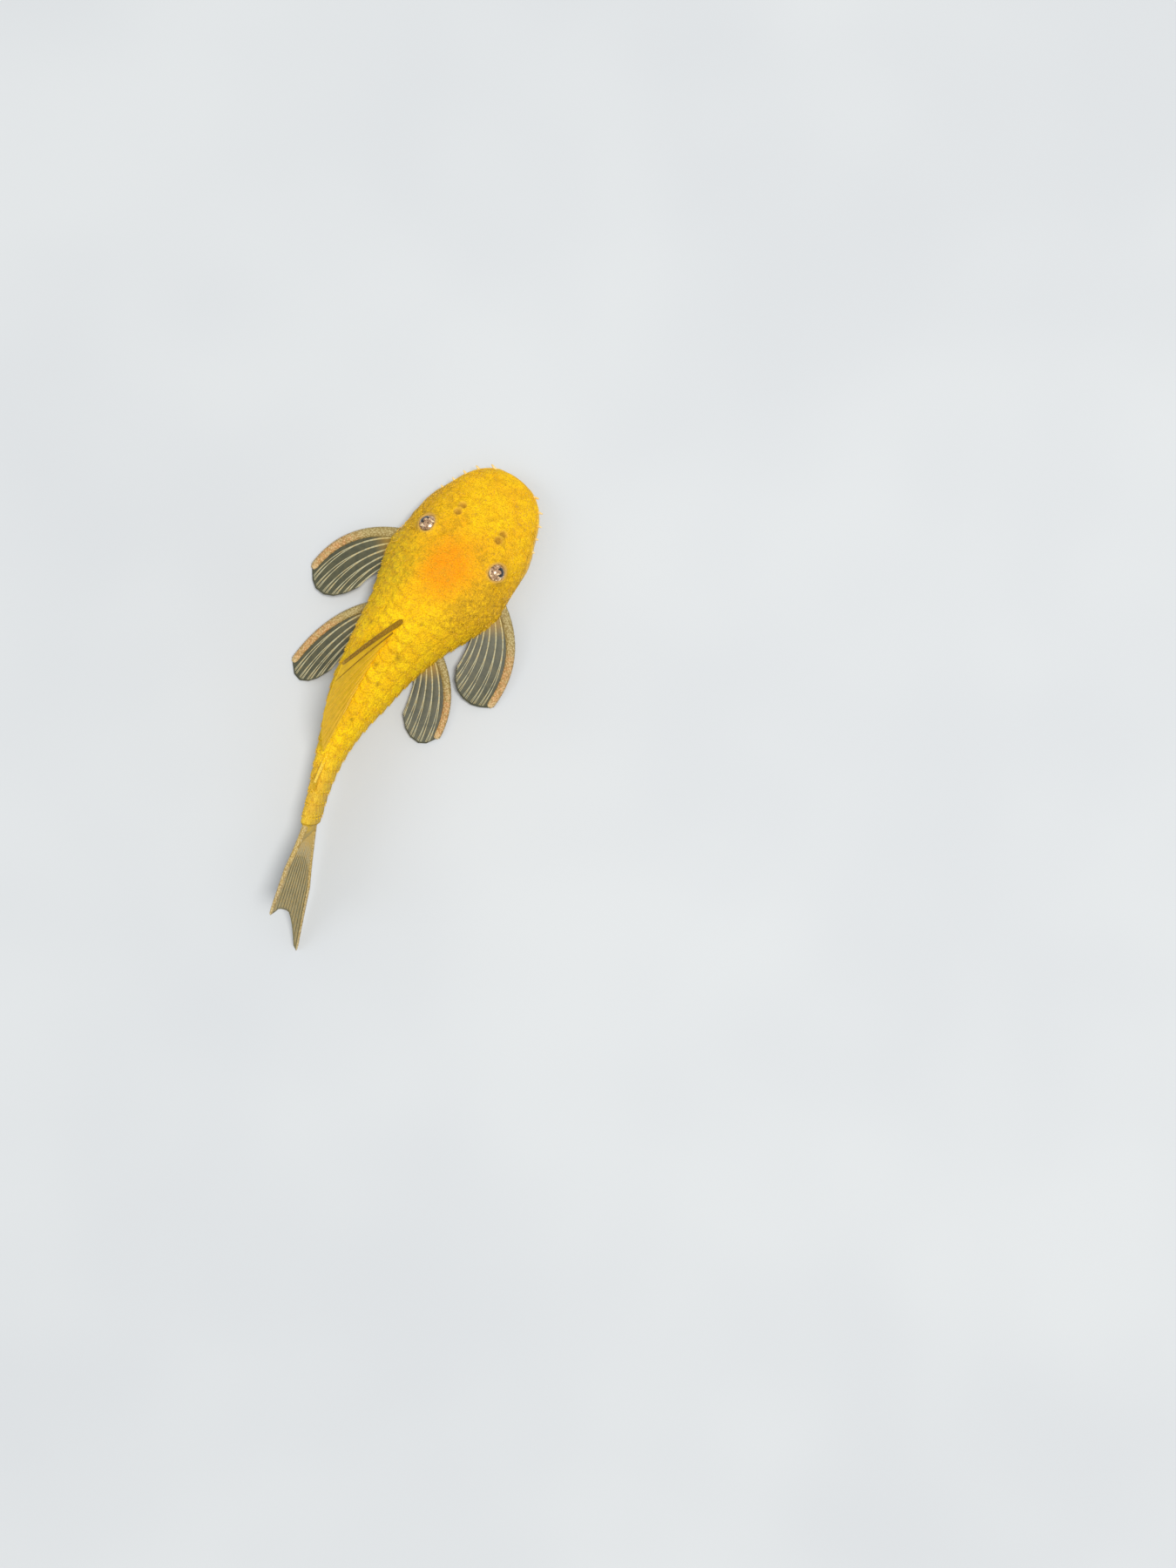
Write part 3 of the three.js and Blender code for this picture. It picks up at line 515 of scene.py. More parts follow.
def body_skin():
    """One skin from the snout to the base of the tail fin, with its plates, sockets, nostrils and grooves."""
    nose = [0, 0.03, 0.07, 0.12, 0.19, 0.28, 0.38, 0.5]
    stations = np.concatenate(
        [nose, np.arange(0.64, PLATES_START, 0.145), np.linspace(PLATES_START, SKIN_END, SKIN_RINGS)])
    turns = np.linspace(-0.5, 0.5, SKIN_SPOKES)
    station, turn = np.meshgrid(stations, turns, indexing="ij")
    side = np.abs(turn)
    smooth_skin = skin(station, turn)
    outward = unit(np.cross(np.gradient(smooth_skin, axis=1), np.gradient(smooth_skin, axis=0)))
    away = smooth_skin - place(station, 0, widest_height(station))
    outward = outward * np.where((outward * away).sum(-1) < 0, -1, 1)[..., None]
    left = ((smooth_skin - backbone(station)[0]) * backbone(station)[2]).sum(-1)

    # The plates rise tailward to a bowed rear edge; each carries a low keel
    row = np.clip(np.searchsorted(PLATE_ROWS, side, side="right") - 1, 0, len(PLATE_ROWS) - 2)
    across = np.clip((side - PLATE_ROWS[row]) / (PLATE_ROWS[row + 1] - PLATE_ROWS[row]), 0, 1)
    bulge = 4 * across * (1 - across)
    column = np.where(
        station < TRUNK_END, (station - PLATES_START) / TRUNK_PITCH,
        TRUNK_COLUMNS + (station - TRUNK_END) / STALK_PITCH) - PLATE_BOW * bulge
    along = column % 1
    covered = (side < PLATE_ROWS[-1]) * span(
        station, PLATES_START, PLATES_START + 1.2, BODY_LENGTH, BODY_LENGTH + 0.6)
    edge = np.clip((1 - along) / 0.1, 0, 1)
    shoulder = smooth(np.minimum(across, 1 - across), 0, 0.13)
    keel = 0.05 * hill(across - 0.5, 0.09) * smooth(along, 0.1, 0.4)
    relief = covered * (PLATE_RISE * (0.3 + 0.7 * along) * edge * (0.25 + 0.75 * shoulder) + keel * edge)
    # painted shade in the grooves between the plates
    groove_shade = covered * np.clip(1 - edge * shoulder + 0.25 * (1 - smooth(along, 0, 0.25)), 0, 1)

    # The skull's bones, alike on both sides, with shallow seams between them, which get painted shade
    on_head = (1 - smooth(station, PLATES_START - 0.6, PLATES_START + 0.6)) * (1 - smooth(side, 0.19, 0.235))
    bones = np.array([
        noise.voronoi(Vector((s / 3.1, abs(x) / 2.7, 4.5)))[0][:2]
        for s, x in zip(station[on_head > 0], left[on_head > 0])])
    seam = np.zeros_like(station)
    seam[on_head > 0] = hill(bones[:, 1] - bones[:, 0], 0.07)
    seam *= on_head * smooth(station, 4.5, 7)
    relief += on_head * smooth(station, 2, 5) * 0.07 - 0.12 * seam
    # painted shade along the skull's seams
    groove_shade += 0.35 * seam
    relief += 0.22 * hill(left, 0.8) * span(station, 12.5, 15, 18, 20)
    lumps = np.array([noise.noise(Vector(spot / 0.9)) for spot in smooth_skin.reshape(-1, 3)])
    lumps = lumps.reshape(station.shape)
    relief += (0.05 + 0.05 * on_head) * lumps * (side < 0.4) * smooth(station, 0.4, 1.5)

    # The naked margin of the snout, the cheek, the gill cover, the shoulder and the gill slit below
    margin = hill(side - 0.245, 0.022) * span(station, 0.1, 0.6, 10.5, 13)
    relief += 0.16 * margin
    relief -= 0.14 * hill(side - 0.205, 0.008) * span(station, 2, 4, 9, 11)
    relief += 0.26 * hill(station - 13.3, 1.5) * hill(side - 0.222, 0.028)
    cover_edge = 15.7 + 1.6 * smooth(side, 0.12, 0.26)
    cover = hill(station - cover_edge, 0.2) * span(side, 0.1, 0.14, 0.27, 0.3)
    relief -= 0.2 * cover
    # painted shade along the gill cover's edge
    groove_shade += 0.7 * cover
    relief += 0.22 * hill(station - 18.2, 1.3) * hill(side - 0.232, 0.03)
    gill = hill(station - (15.4 - 9 * (side - 0.3)), 0.17) * span(side, 0.285, 0.31, 0.38, 0.41)
    relief -= 0.35 * gill
    # painted shade in the gill slit
    groove_shade += gill

    # Eye sockets with raised lids, and nostrils with a flap between each pair and painted shade in their holes
    lid = profile([(0, -1), (1.02, -0.8), (1.24, -0.3), (1.36, 0.18), (1.62, 0.34), (2.0, 0.2), (2.8, 0)])
    hole = profile([(0, -0.6), (0.28, -0.5), (0.48, -0.08), (0.64, 0.12), (1, 0)])
    eyelid, nostril_pit_shade = np.zeros_like(station), np.zeros_like(station)
    for hand in (1, -1):
        near = (turn * hand > 0) & (side < FACE_TURN)
        centre, way = on_skin(EYE["station"], hand, EYE["out"])
        _, tailward, leftward = backbone(EYE["station"])
        spread = smooth_skin - centre
        long_way = unit(tailward - EYE["slant"] * hand * leftward)
        long_way = unit(long_way - way * (long_way @ way))
        long, short = spread @ long_way, spread @ np.cross(way, long_way)
        distance = np.hypot(long, short / EYE["squash"])
        brow = 0.3 * hill(distance - 1.4, 0.34) * (short / (np.hypot(long, short) + 0.01)) ** 2
        relief = np.where(near, relief * smooth(distance, 1.4, 2.2) + lid(distance) + brow, relief)
        eyelid = np.where(near, hill(distance - 1.45, 0.28) * 0.9 + (distance < 1.4), eyelid)
        groove_shade = np.where(near, groove_shade * smooth(distance, 1.4, 2.6), groove_shade)
        for at in NOSTRIL["stations"]:
            centre, _ = on_skin(at, hand, NOSTRIL["out"])
            distance = np.linalg.norm(smooth_skin - centre, axis=-1)
            relief = np.where(near, relief * smooth(distance, 0.4, 1) + hole(distance), relief)
            eyelid = np.where(near, np.maximum(eyelid, 0.5 * (1 - smooth(distance, 0.4, 0.8))), eyelid)
            # painted shade inside each nostril
            nostril_pit_shade = np.where(near, np.maximum(nostril_pit_shade, 1 - smooth(distance, 0.25, 0.5)), nostril_pit_shade)
        between = sum(NOSTRIL["stations"]) / 2
        flap_at, _ = on_skin(between, hand, NOSTRIL["out"])
        _, tailward, leftward = backbone(between)
        spread = smooth_skin - flap_at
        relief += near * 0.45 * hill(spread @ tailward, 0.17) * hill(spread @ leftward, 0.42)

    # Where the colours and the painted shade lie
    gold = (1 - smooth(station, 15, 24)) * (1 - 0.9 * hill(station - 8.5, 2.6) * hill(left + 0.6, 2.4))
    amber = 1.25 * hill(station - 17.6, 5) * hill(left + 0.1, 4)
    ochre = hill(station - 17.5, 5) * smooth(-left, 3.2, 7)
    ochre += 0.75 * hill(station - 22, 3.5) * hill(left + 5.4, 2)
    # painted shade on the left side of the head
    ochre += 0.85 * smooth(left, 4.2, 7.6) * hill(station - 13, 6)
    ochre += 0.55 * smooth(side, 0.17, 0.23) * span(station, 3, 6, 12, 20)
    ochre += 0.5 * hill(station - 13.2, 1.8) * hill(np.abs(left) - 3.4, 1.8)
    # painted shadow of the back fin on the left shoulder
    olive = 0.95 * hill(station - 21.8, 5.5) * smooth(left, 1.8, 4.4)
    olive += 0.5 * smooth(side, 0.2, 0.3) * smooth(station, 22, 30)
    # painted shadow of the back fin on the left of the back beneath it
    olive += 0.4 * smooth(left, 0.6, 2.6) * smooth(station, 36, 42)
    mottle = 0.36 + 0.42 * np.clip(ochre, 0, 1) + 0.2 * smooth(side, 0.2, 0.3)
    mottle += 0.3 * hill(station - 9.6, 2) * hill(np.abs(left) - 3.6, 1.8) + 0.25 * np.clip(olive, 0, 1)
    # painted shade in the nostrils, then real dark spots on the back and at the tail's root
    fleck_and_pit_shade = 0.6 * nostril_pit_shade
    for at, out, size in BACK_SPOTS:
        fleck_and_pit_shade += 0.8 * hill(station - at, size) * hill(left - out, size * 0.7) * (side < 0.25)
    fleck_and_pit_shade += 0.7 * hill(station - 60.3, 0.16) * (side < 0.36)
    belly = smooth(side, 0.325, 0.36) * span(station, 1, 3, 46, 50)
    belly = np.maximum(belly, 0.55 * margin)
    eyelid = np.clip(eyelid, 0, 1)
    fin_base = np.maximum(0.44 * smooth(station, 46, 58), smooth(station, 60.2, 62.2))
    grain = (1 - belly) * (1 - 0.85 * eyelid) * smooth(station, 0.3, 1) * (1 - 0.8 * fin_base)

    marks = {
        "gold": gold, "amber": amber, "ochre": ochre, "olive": olive, "mottle": mottle, "belly": belly,
        # the painted groove shade is half as strong along the top of the back as on the sides
        "groove_shade": np.clip(groove_shade, 0, 1) * (0.5 + 0.5 * smooth(side, 0.1, 0.2)), "fleck_and_pit_shade": fleck_and_pit_shade,
        "eyelid": eyelid, "grain": grain, "fin_base": fin_base}
    bm = new_mesh(*marks)
    spots = smooth_skin + outward * (relief * smooth(station, 0, 0.5))[..., None]
    spots[..., 2] = np.maximum(spots[..., 2], 0)
    lay_sheet(bm, spots, marks={name: np.clip(value, 0, 1) for name, value in marks.items()})
    return finished("body_skin", bm, [gold_skin()], ("head", "trunk", "tail_stalk"))


def denticles():
    """Small hooked thorns along every plate's rear edge, and scattered on the head and shoulders."""
    bm = new_mesh()
    stations, turns = [], []
    for column in range(1, TRUNK_COLUMNS + STALK_COLUMNS):
        count = 6 if column <= TRUNK_COLUMNS else 4
        for top, bottom in zip(PLATE_ROWS[:-1], PLATE_ROWS[1:]):
            for share in np.linspace(0.12, 0.88, count):
                bulge = 4 * share * (1 - share)
                stations.append(PLATES_START + (column + PLATE_BOW * bulge - 0.08) * TRUNK_PITCH)
                turns.append(top + share * (bottom - top))
    # The cheeks and the shoulders: how many, about which station and turn
    for count, station, reach, turn, spread in [(46, 13.4, 1.1, 0.222, 0.016), (60, 18.6, 1.2, 0.235, 0.018)]:
        for _ in range(count):
            stations.append(dice.gauss(station, reach))
            turns.append(dice.gauss(turn, spread))
    for _ in range(620):
        stations.append(dice.uniform(1.2, 16.2))
        turns.append(dice.uniform(0.015, 0.228))
    stations = np.array(stations * 2)
    turns = np.concatenate([turns, -np.array(turns)])
    roots = skin(stations, turns, PLATE_RISE * 0.75)
    outward = unit(skin(stations, turns, 1.0) - skin(stations, turns, 0.0))
    ways = unit(backbone(stations)[1] + outward * 0.45)
    ahead = stations < PLATES_START
    roots = np.where(ahead[:, None], roots - outward * 0.12, roots)
    # None stand on the floor, in the eyes or in the nostrils
    clear = roots[:, 2] > 0.35
    holes = [(EYE["station"], EYE["out"], 2.1)] + [(at, NOSTRIL["out"], 0.9) for at in NOSTRIL["stations"]]
    for at, out, reach in holes:
        for hand in (1, -1):
            clear &= np.linalg.norm(roots - on_skin(at, hand, out)[0], axis=-1) > reach
    long = np.array([dice.uniform(0.26, 0.42) for _ in stations]) * np.where(ahead, 0.7, 1)
    for group, thick in ((clear & ~ahead, 0.14), (clear & ahead, 0.1)):
        lay_thorns(bm, roots[group], ways[group], long[group], thick)
    return finished("denticles", bm, [denticle_tips()])


def snout_bristles():
    """The short soft nubs of a young fish, round the naked margin of the snout."""
    bm = new_mesh()
    for hand in (1, -1):
        turn = hand * BRISTLE["turn"]
        for station in BRISTLE_STATIONS:
            root = skin(station, turn)
            outward = unit(root - skin(station, turn, -1.0))
            _, tailward, _ = backbone(station)
            way = unit(outward - 0.25 * tailward)
            length = BRISTLE["length"] * (1 - station / BRISTLE["vanish"])
            r = np.linspace(0, 1, 12)
            run = r * (length + BRISTLE["sunk"]) - BRISTLE["sunk"]
            centres = root + way * run[:, None] + UP * (0.15 * r * r)[:, None]
            across = np.broadcast_to(unit(np.cross(way, UP)), centres.shape)
            normal = np.broadcast_to(unit(np.cross(across[0], way)), centres.shape)
            round_tip = np.sqrt(1 - np.clip((r - 0.75) / 0.25, 0, 1) ** 2)
            thick = np.interp(r, [0, 0.6, 1], [0.52, 0.38, 0.26]) * round_tip
            lay_tube(bm, centres, across, normal, thick, thick, sides=10)
    return finished("snout_bristles", bm, [bristle_flesh()])


def eye(name, hand, node):
    """A ball looking out of its socket, its clear front swollen a little beyond the round."""
    centre, outward = on_skin(EYE["station"], hand, EYE["out"])
    centre = centre - outward * EYE["sunk"]
    upward = unit(UP - outward * outward[2])
    sideways = np.cross(upward, outward)
    turned = Matrix((sideways, upward, outward)).transposed().to_4x4()
    bm = new_mesh()
    gaze = bm.loops.layers.uv["UVMap"]
    bmesh.ops.create_uvsphere(bm, u_segments=64, v_segments=48, radius=1)
    for face in bm.faces:
        for loop in face.loops:
            loop[gaze].uv = (loop.vert.co.x / 2 + 0.5, loop.vert.co.y / 2 + 0.5)
    front_from, swell = 0.72, 0.06
    for corner in bm.verts:
        corner.co.z += swell * max(0.0, (corner.co.z - front_from) / (1 - front_from))
    bmesh.ops.scale(bm, vec=(EYE["radius"] * MM,) * 3, verts=bm.verts)
    bmesh.ops.transform(bm, matrix=Matrix.Translation(Vector(centre * MM)) @ turned, verts=bm.verts)
    return finished(name, bm, [IRIS], (node,))


def mouth_disc():
    """The round sucker: lips covered in papillae, the hollow between them and the four bars of teeth."""
    bm = new_mesh("papilla")
    row, around = np.meshgrid(np.linspace(0, 1, 96), np.linspace(0, 1, 193), indexing="ij")
    angle = around * TURN
    # The rows run from the middle of the underside out to the rim, and then over it up into the head
    rim_row = 0.78
    reach = np.where(row < rim_row, row / rim_row, 1 - 0.25 * ((row - rim_row) / (1 - rim_row)) ** 2)
    under = np.where(row < rim_row, 0, smooth(row, rim_row, 1))
    # Beads in rings, more of them in the wider rings
    rings = 11
    ring = np.clip(reach * rings, 0, rings)
    count = np.maximum(np.rint((np.floor(ring) + 0.5) * 5.2), 1)
    bead = np.abs(np.sin(ring * math.pi)) * np.abs(np.sin(angle * count / 2 + np.floor(ring)))
    lip = smooth(reach, 0.5, 0.62)
    papilla = bead * lip * (1 - under)
    hollow = 0.85 * (1 - lip)
    rim = 0.55 * smooth(reach, 0.86, 1) ** 2
    beaded = 0.16 + hollow + rim - 0.16 * papilla * (1 - smooth(reach, 0.9, 1))
    level = np.where(under > 0, MOUTH["level"] + 1.7 * under, beaded)
    fringe = 1 + 0.012 * np.sin(angle * 60) * smooth(reach, 0.9, 1)
    station = MOUTH["station"] + MOUTH["half_long"] * reach * fringe * np.cos(angle)
    left = MOUTH["half_wide"] * reach * fringe * np.sin(angle)
    lay_sheet(bm, place(station, left, level), 0, {"papilla": papilla * 0.8})
    bmesh.ops.remove_doubles(bm, verts=bm.verts, dist=0.002 * MM)
    bmesh.ops.holes_fill(bm, edges=[edge for edge in bm.edges if edge.is_boundary], sides=0)
    for hand in (1, -1):
        for ahead in (1, -1):
            r = np.linspace(-1, 1, 15)
            station = MOUTH["station"] - ahead * (0.85 + 0.22 * r * r * 0.6) + ahead * 0.22 * r * 0.8
            centres = place(station, hand * (TOOTH_BAR["out"] + TOOTH_BAR["half_wide"] * r), 0.78)
            across = unit(np.cross(unit(np.gradient(centres, axis=0)), UP))
            thick = TOOTH_BAR["thick"] * np.sqrt(np.clip(1 - r ** 4, 0, 1))
            lay_tube(bm, centres, across, np.broadcast_to(UP, centres.shape), thick, thick, sides=12)
            teeth = np.linspace(-0.85, 0.85, TOOTH_BAR["teeth"])
            out = TOOTH_BAR["out"] + TOOTH_BAR["half_wide"] * teeth
            roots = place(np.interp(teeth, r, station), hand * out, 0.56)
            ways = unit(-UP + backbone(MOUTH["station"])[1] * ahead * 0.5)
            lay_thorns(bm, roots, np.broadcast_to(ways, roots.shape), 0.3, 0.1, finish=1)
    return finished("sucker_mouth", bm, [LIP, tooth_horn()], ("mouth_disc",))


def barbel(name, hand, node):
    """A short soft whisker at a corner of the mouth."""
    bm = new_mesh("papilla")
    r = np.linspace(0, 1, 40)
    root, halfway, tip = (
        place(MOUTH["station"] + behind, hand * out, height)
        for behind, out, height in [(0.4, 4.7, 0.62), (1.6, 6, 0.5), (3.2, 6.6, 0.42)])
    centres = bezier(root, 2 * halfway - (root + tip) / 2, tip)(r)
    run = unit(np.gradient(centres, axis=0))
    across = unit(np.cross(run, UP))
    normal = unit(np.cross(across, run))
    thick = np.interp(r, [0, 1], [0.84, 0.34]) * np.sqrt(1 - np.clip((r - 0.9) / 0.1, 0, 1) ** 2)
    wrinkle = 0.05 * np.sin(r * 90)[:, None] * np.ones((1, 15))
    lay_tube(bm, centres, across, normal, thick, thick, sides=14, relief=wrinkle)
    return finished(name, bm, [LIP], (node,))


def bezier(start, middle, end):
    """A ray that leaves the start towards the middle and ends at the end."""
    def ray(r):
        r = np.asarray(r, float)[..., None]
        return (1 - r) ** 2 * start + 2 * r * (1 - r) * middle + r * r * end

    return ray


class Fin:
    """Rays, each a curve from its root at 0 to its tip at 1, with a web between them.

    The front ray is a spine, and with a size for lower the last one is too. The others branch beyond split,
    or not at all where that is None. second is the finish of the ray behind the spine, which doesn't branch
    where that is 2. buried is the share of their length that the rays run on into the body."""

    def __init__(
            self, rays, spine_wide, spine_thick, ray_thick=0.34, split=0.36, second=1, lower=0, buried=0.0):
        self.rays, self.ray_thick, self.split, self.second = rays, ray_thick, split, second
        self.spine_wide, self.spine_thick, self.lower, self.buried = spine_wide, spine_thick, lower, buried

    def web(self, u, r):
        """The middle of the fin's thickness, u rays back from the spine and a share r from root to tip."""
        u, r = np.broadcast_arrays(np.asarray(u, float), np.asarray(r, float))
        low = np.clip(np.floor(u).astype(int), 0, len(self.rays) - 2)
        runs = np.stack([ray(r) for ray in self.rays])
        here = np.take_along_axis(runs, low[None, ..., None], 0)[0]
        there = np.take_along_axis(runs, low[None, ..., None] + 1, 0)[0]
        return here + (there - here) * (u - low)[..., None]

    def frame(self, u, r):
        """The points with the ways along, across and out of the web there."""
        small = 0.01
        spots = self.web(u, r)
        along = self.web(u, np.asarray(r) + small) - self.web(u, np.asarray(r) - small)
        last = len(self.rays) - 1
        across = self.web(np.minimum(u + 0.3, last), r) - self.web(np.maximum(u - 0.3, 0), r)
        along = unit(along)
        normal = unit(np.cross(along, across))
        return spots, along, unit(np.cross(normal, along)), normal

    def lay_web(self, bm):
        """The web sags a little between the rays and ends in a faintly torn edge."""
        last = len(self.rays) - 1
        r, u = np.meshgrid(np.linspace(0, 1, 44), np.linspace(0, last, last * 8 + 1), indexing="ij")
        between = 4 * (u % 1) * (1 - u % 1)
        torn = np.array([noise.noise(Vector((x * 2.3, 7.7, 1.5))) for x in u[0]])[None, :]
        reach = 1 - WEB_SCALLOP * between * r ** 3 - WEB_TEAR * np.abs(torn) * r ** 6
        spots, _, _, normal = self.frame(u, np.clip(r * reach, RAY_START, WEB_END))
        pitch = np.linalg.norm(self.web(1, 0.5) - self.web(0, 0.5))
        sag = 0.025 * pitch * between * np.sin(r * math.pi)
        faces = lay_sheet(bm, spots - normal * (sag + WEB_THICK / 2)[..., None], marks={"along": r})
        bm.normal_update()
        bmesh.ops.solidify(bm, geom=faces, thickness=WEB_THICK * MM)

    def lay_branch(self, bm, u, r, wide, thick, finish):
        spots, _, across, normal = self.frame(u, np.clip(r, RAY_START - self.buried, RAY_END))
        tip = np.sqrt(np.clip(1 - np.abs(np.linspace(-1, 1, len(r))) ** 14, 0, 1))
        joints = 1 - 0.16 * (np.abs(np.sin(r * 40)) < 0.25)
        lay_tube(bm, spots, across, normal, wide * tip * joints, thick * tip, 6, finish,
                 marks={"along": r[:, None]})

    def lay_rays(self, bm):
        """Every ray behind the spine: one stem, two branches and four twigs."""
        last = len(self.rays) - 1
        thick = self.ray_thick
        for i in range(1, last + 1):
            simple = self.split is None or (i == 1 and self.second == 2)
            finish = self.second if i == 1 else 1
            r = np.linspace(-self.buried, 1 if simple else self.split + 0.04, 30)
            wide = np.interp(r, [0, 1], [thick, thick * 0.5])
            deep = np.interp(r, [0, 1], [thick * 1.2, thick * 0.4])
            self.lay_branch(bm, np.full(len(r), float(i)), r, wide, deep, finish)
            if simple:
                continue
            for way in (-1, 1):
                r = np.linspace(self.split - 0.05, 0.82, 26)
                opened = way * 0.15 * smooth(r, self.split - 0.05, 0.85)
                wide = np.interp(r, [self.split, 0.82], [thick * 0.55, thick * 0.36])
                self.lay_branch(bm, np.clip(i + opened, 0, last), r, wide, wide, finish)
                for twig in (-1, 1):
                    r = np.linspace(0.78, 0.99, 14)
                    spread = way * (0.15 + 0.03 * smooth(r, 0.78, 1)) + twig * 0.07 * smooth(r, 0.76, 1)
                    wide = np.interp(r, [0.78, 1], [thick * 0.36, thick * 0.3])
                    self.lay_branch(bm, np.clip(i + spread, 0, last), r, wide, wide * 1.1, finish)

    def lay_spine(self, bm, thorns=True, at=0, size=1.0):
        """A stout beaded ray, with rows of thorns on its outer edge if asked for."""
        r = np.linspace(-self.buried, 1, SPINE_RINGS)
        u = np.full(SPINE_RINGS, float(at))
        spots, along, _, _ = self.frame(u, np.clip(r, RAY_START - self.buried, RAY_END))
        inward = unit(self.web(np.abs(u - 1), np.clip(r, 0.05, 1)) - spots)
        across = unit(inward - along * (inward * along).sum(-1, keepdims=True))
        normal = unit(np.cross(along, across))
        round_tip = np.sqrt(np.clip(1 - np.clip((r - 0.94) / 0.06, 0, 1) ** 2, 0, 1))
        tip = round_tip * np.sqrt(smooth(r, -0.02 - self.buried, 0.03 - self.buried))
        wide = size * self.spine_wide * (1 - 0.25 * r) * tip
        thick = size * self.spine_thick * (1 - 0.55 * r) * tip
        spoke = np.arange(SPINE_SIDES + 1)[None, :] % SPINE_SIDES
        bead = np.abs(np.sin(r[:, None] * 46 + (spoke % 2) * math.pi / 2)) ** 0.7
        lay_tube(bm, spots, across, normal, wide, thick, SPINE_SIDES, finish=2, relief=0.12 * bead - 0.06,
                 marks={"along": r[:, None]})
        if thorns:
            at = np.linspace(14, SPINE_RINGS - 6, 56).astype(int)
            for lift in (-0.45, 0, 0.45):
                ways = unit(-across[at] + along[at] * 0.9 + normal[at] * lift)
                outward, upward = wide[at] / 2 * 0.86, lift * thick[at] / 2
                roots = spots[at] - across[at] * outward[:, None] + normal[at] * upward[:, None]
                lay_thorns(bm, roots, ways, 0.3, 0.13, finish=2)

    def make(self, name, node, finishes, thorns=True):
        bm = new_mesh("along")
        self.lay_web(bm)
        self.lay_rays(bm)
        self.lay_spine(bm, thorns=thorns)
        if self.lower:
            self.lay_spine(bm, thorns=False, at=len(self.rays) - 1, size=self.lower)
        return finished(name, bm, finishes, (node,))


# The paired fins: where the front and inner rays start, each ray's tip, as station, distance out and height,
# and how far the front and inner rays bow outward
PECTORAL = {
    "root_front": (17, 9.2, 2.5), "root_inner": (20.8, 7.4, 2.4), "bows": (4.2, 0.8),
    "tips": [(29.8, 16.8, 0.5), (30.8, 15.7, 0.8), (31.4, 14.5, 1.1), (31.4, 13, 1.45), (30.8, 11.6, 1.8),
             (29.6, 10.4, 2.1), (27.8, 9.4, 2.4)]}
PELVIC = {"root_front": (28.1, 5.9, 1.5), "root_inner": (31.4, 4.6, 1.3)}
PELVIC_RIGHT = {
    **PELVIC, "bows": (3.1, 0.5),
    "tips": [(40.7, 12.7, 0.45), (42.2, 11.8, 0.55), (42.8, 10.7, 0.7), (42.5, 9.3, 0.9), (41.5, 8, 1.1),
             (39.6, 6.7, 1.3)]}
PELVIC_LEFT = {
    **PELVIC, "bows": (2.8, 0.4),
    "tips": [(40.8, 11.6, 0.45), (42, 10.6, 0.55), (42.4, 9.4, 0.7), (42, 8.2, 0.9), (41, 7.1, 1.1),
             (39.2, 6, 1.3)]}


def paired_rays(hand, root_front, root_inner, tips, bows):
    """Rays of a fin on the left side with hand 1, on the right side with hand -1."""
    rays = []
    for share, tip in zip(np.linspace(0, 1, len(tips)), tips):
        station, out, height = np.array(root_front) * (1 - share) + np.array(root_inner) * share
        start, end = place(station, hand * out, height), place(tip[0], hand * tip[1], tip[2])
        bow = bows[0] * (1 - share) + bows[1] * share
        _, tailward, leftward = backbone(station)
        middle = start * 0.55 + end * 0.45 + leftward * hand * bow - tailward * bow * 0.4
        rays.append(bezier(start, middle, end))
    return rays


def back_rays(first, last, count, lengths, rises, sunk, lean=0.0):
    """Rays along the back from station first to last. Rises are their slopes and lean is to the left, in
    degrees; sunk is how far their roots lie in the body."""
    def ray_at(share):
        station = first + (last - first) * share
        length = (lengths[0] + (lengths[1] - lengths[0]) * share) * (1 + 0.12 * math.sin(share * math.pi))
        rise = math.radians(rises[0] + (rises[1] - rises[0]) * share)
        _, tailward, leftward = backbone(station + length / 3)
        upward = UP * math.cos(math.radians(lean)) + leftward * math.sin(math.radians(lean))
        root = place(station, 0, back_height(station))

        def ray(r):
            r = np.asarray(r, float)[..., None]
            along, droop = r * (length + sunk) - sunk, rise * (1 - 0.12 * r)
            return root + tailward * along * np.cos(droop) + upward * along * np.sin(droop)

        return ray

    return [ray_at(share) for share in np.linspace(0, 1, count)]


def anal_rays():
    """Rays folded back along the underside of the stalk, a little to the left."""
    def ray_at(share):
        station, length = 42.6 + 2.6 * share, 7.4 - 2.6 * share
        drop, swing = 0.62 - 0.37 * share, 1.9 - 1.4 * share
        _, tailward, leftward = backbone(station + length / 2)
        root = place(station, 0, belly_height(station) + 0.5)

        def ray(r):
            r = np.asarray(r, float)[..., None]
            return root + tailward * length * r + leftward * swing * r - UP * drop * np.minimum(1, 2.2 * r)

        return ray

    return [ray_at(share) for share in np.linspace(0, 1, 5)]


def tail_rays():
    """Rays fanned from the end of the stalk, longest below, the fin's top leaning to the left."""
    length = profile([(0, 13.8), (0.2, 12.9), (0.5, 13.4), (0.75, 16), (1, 20.4)])
    lean = math.tan(math.radians(12))

    def ray_at(share):
        height = 9 - 6.9 * share
        rise, long = math.radians(16 - 21 * share), float(length(share))

        def ray(r):
            r = np.asarray(r, float)
            up = height + long * r * math.sin(rise)
            station = BODY_LENGTH + 0.3 + long * r * math.cos(rise)
            return place(station, (up - 7) * lean * np.minimum(1, 2 * r), up)

        return ray

    return [ray_at(share) for share in np.linspace(0, 1, 12)]


IRIS = iris_and_pupil()
LIP = lip_flesh()
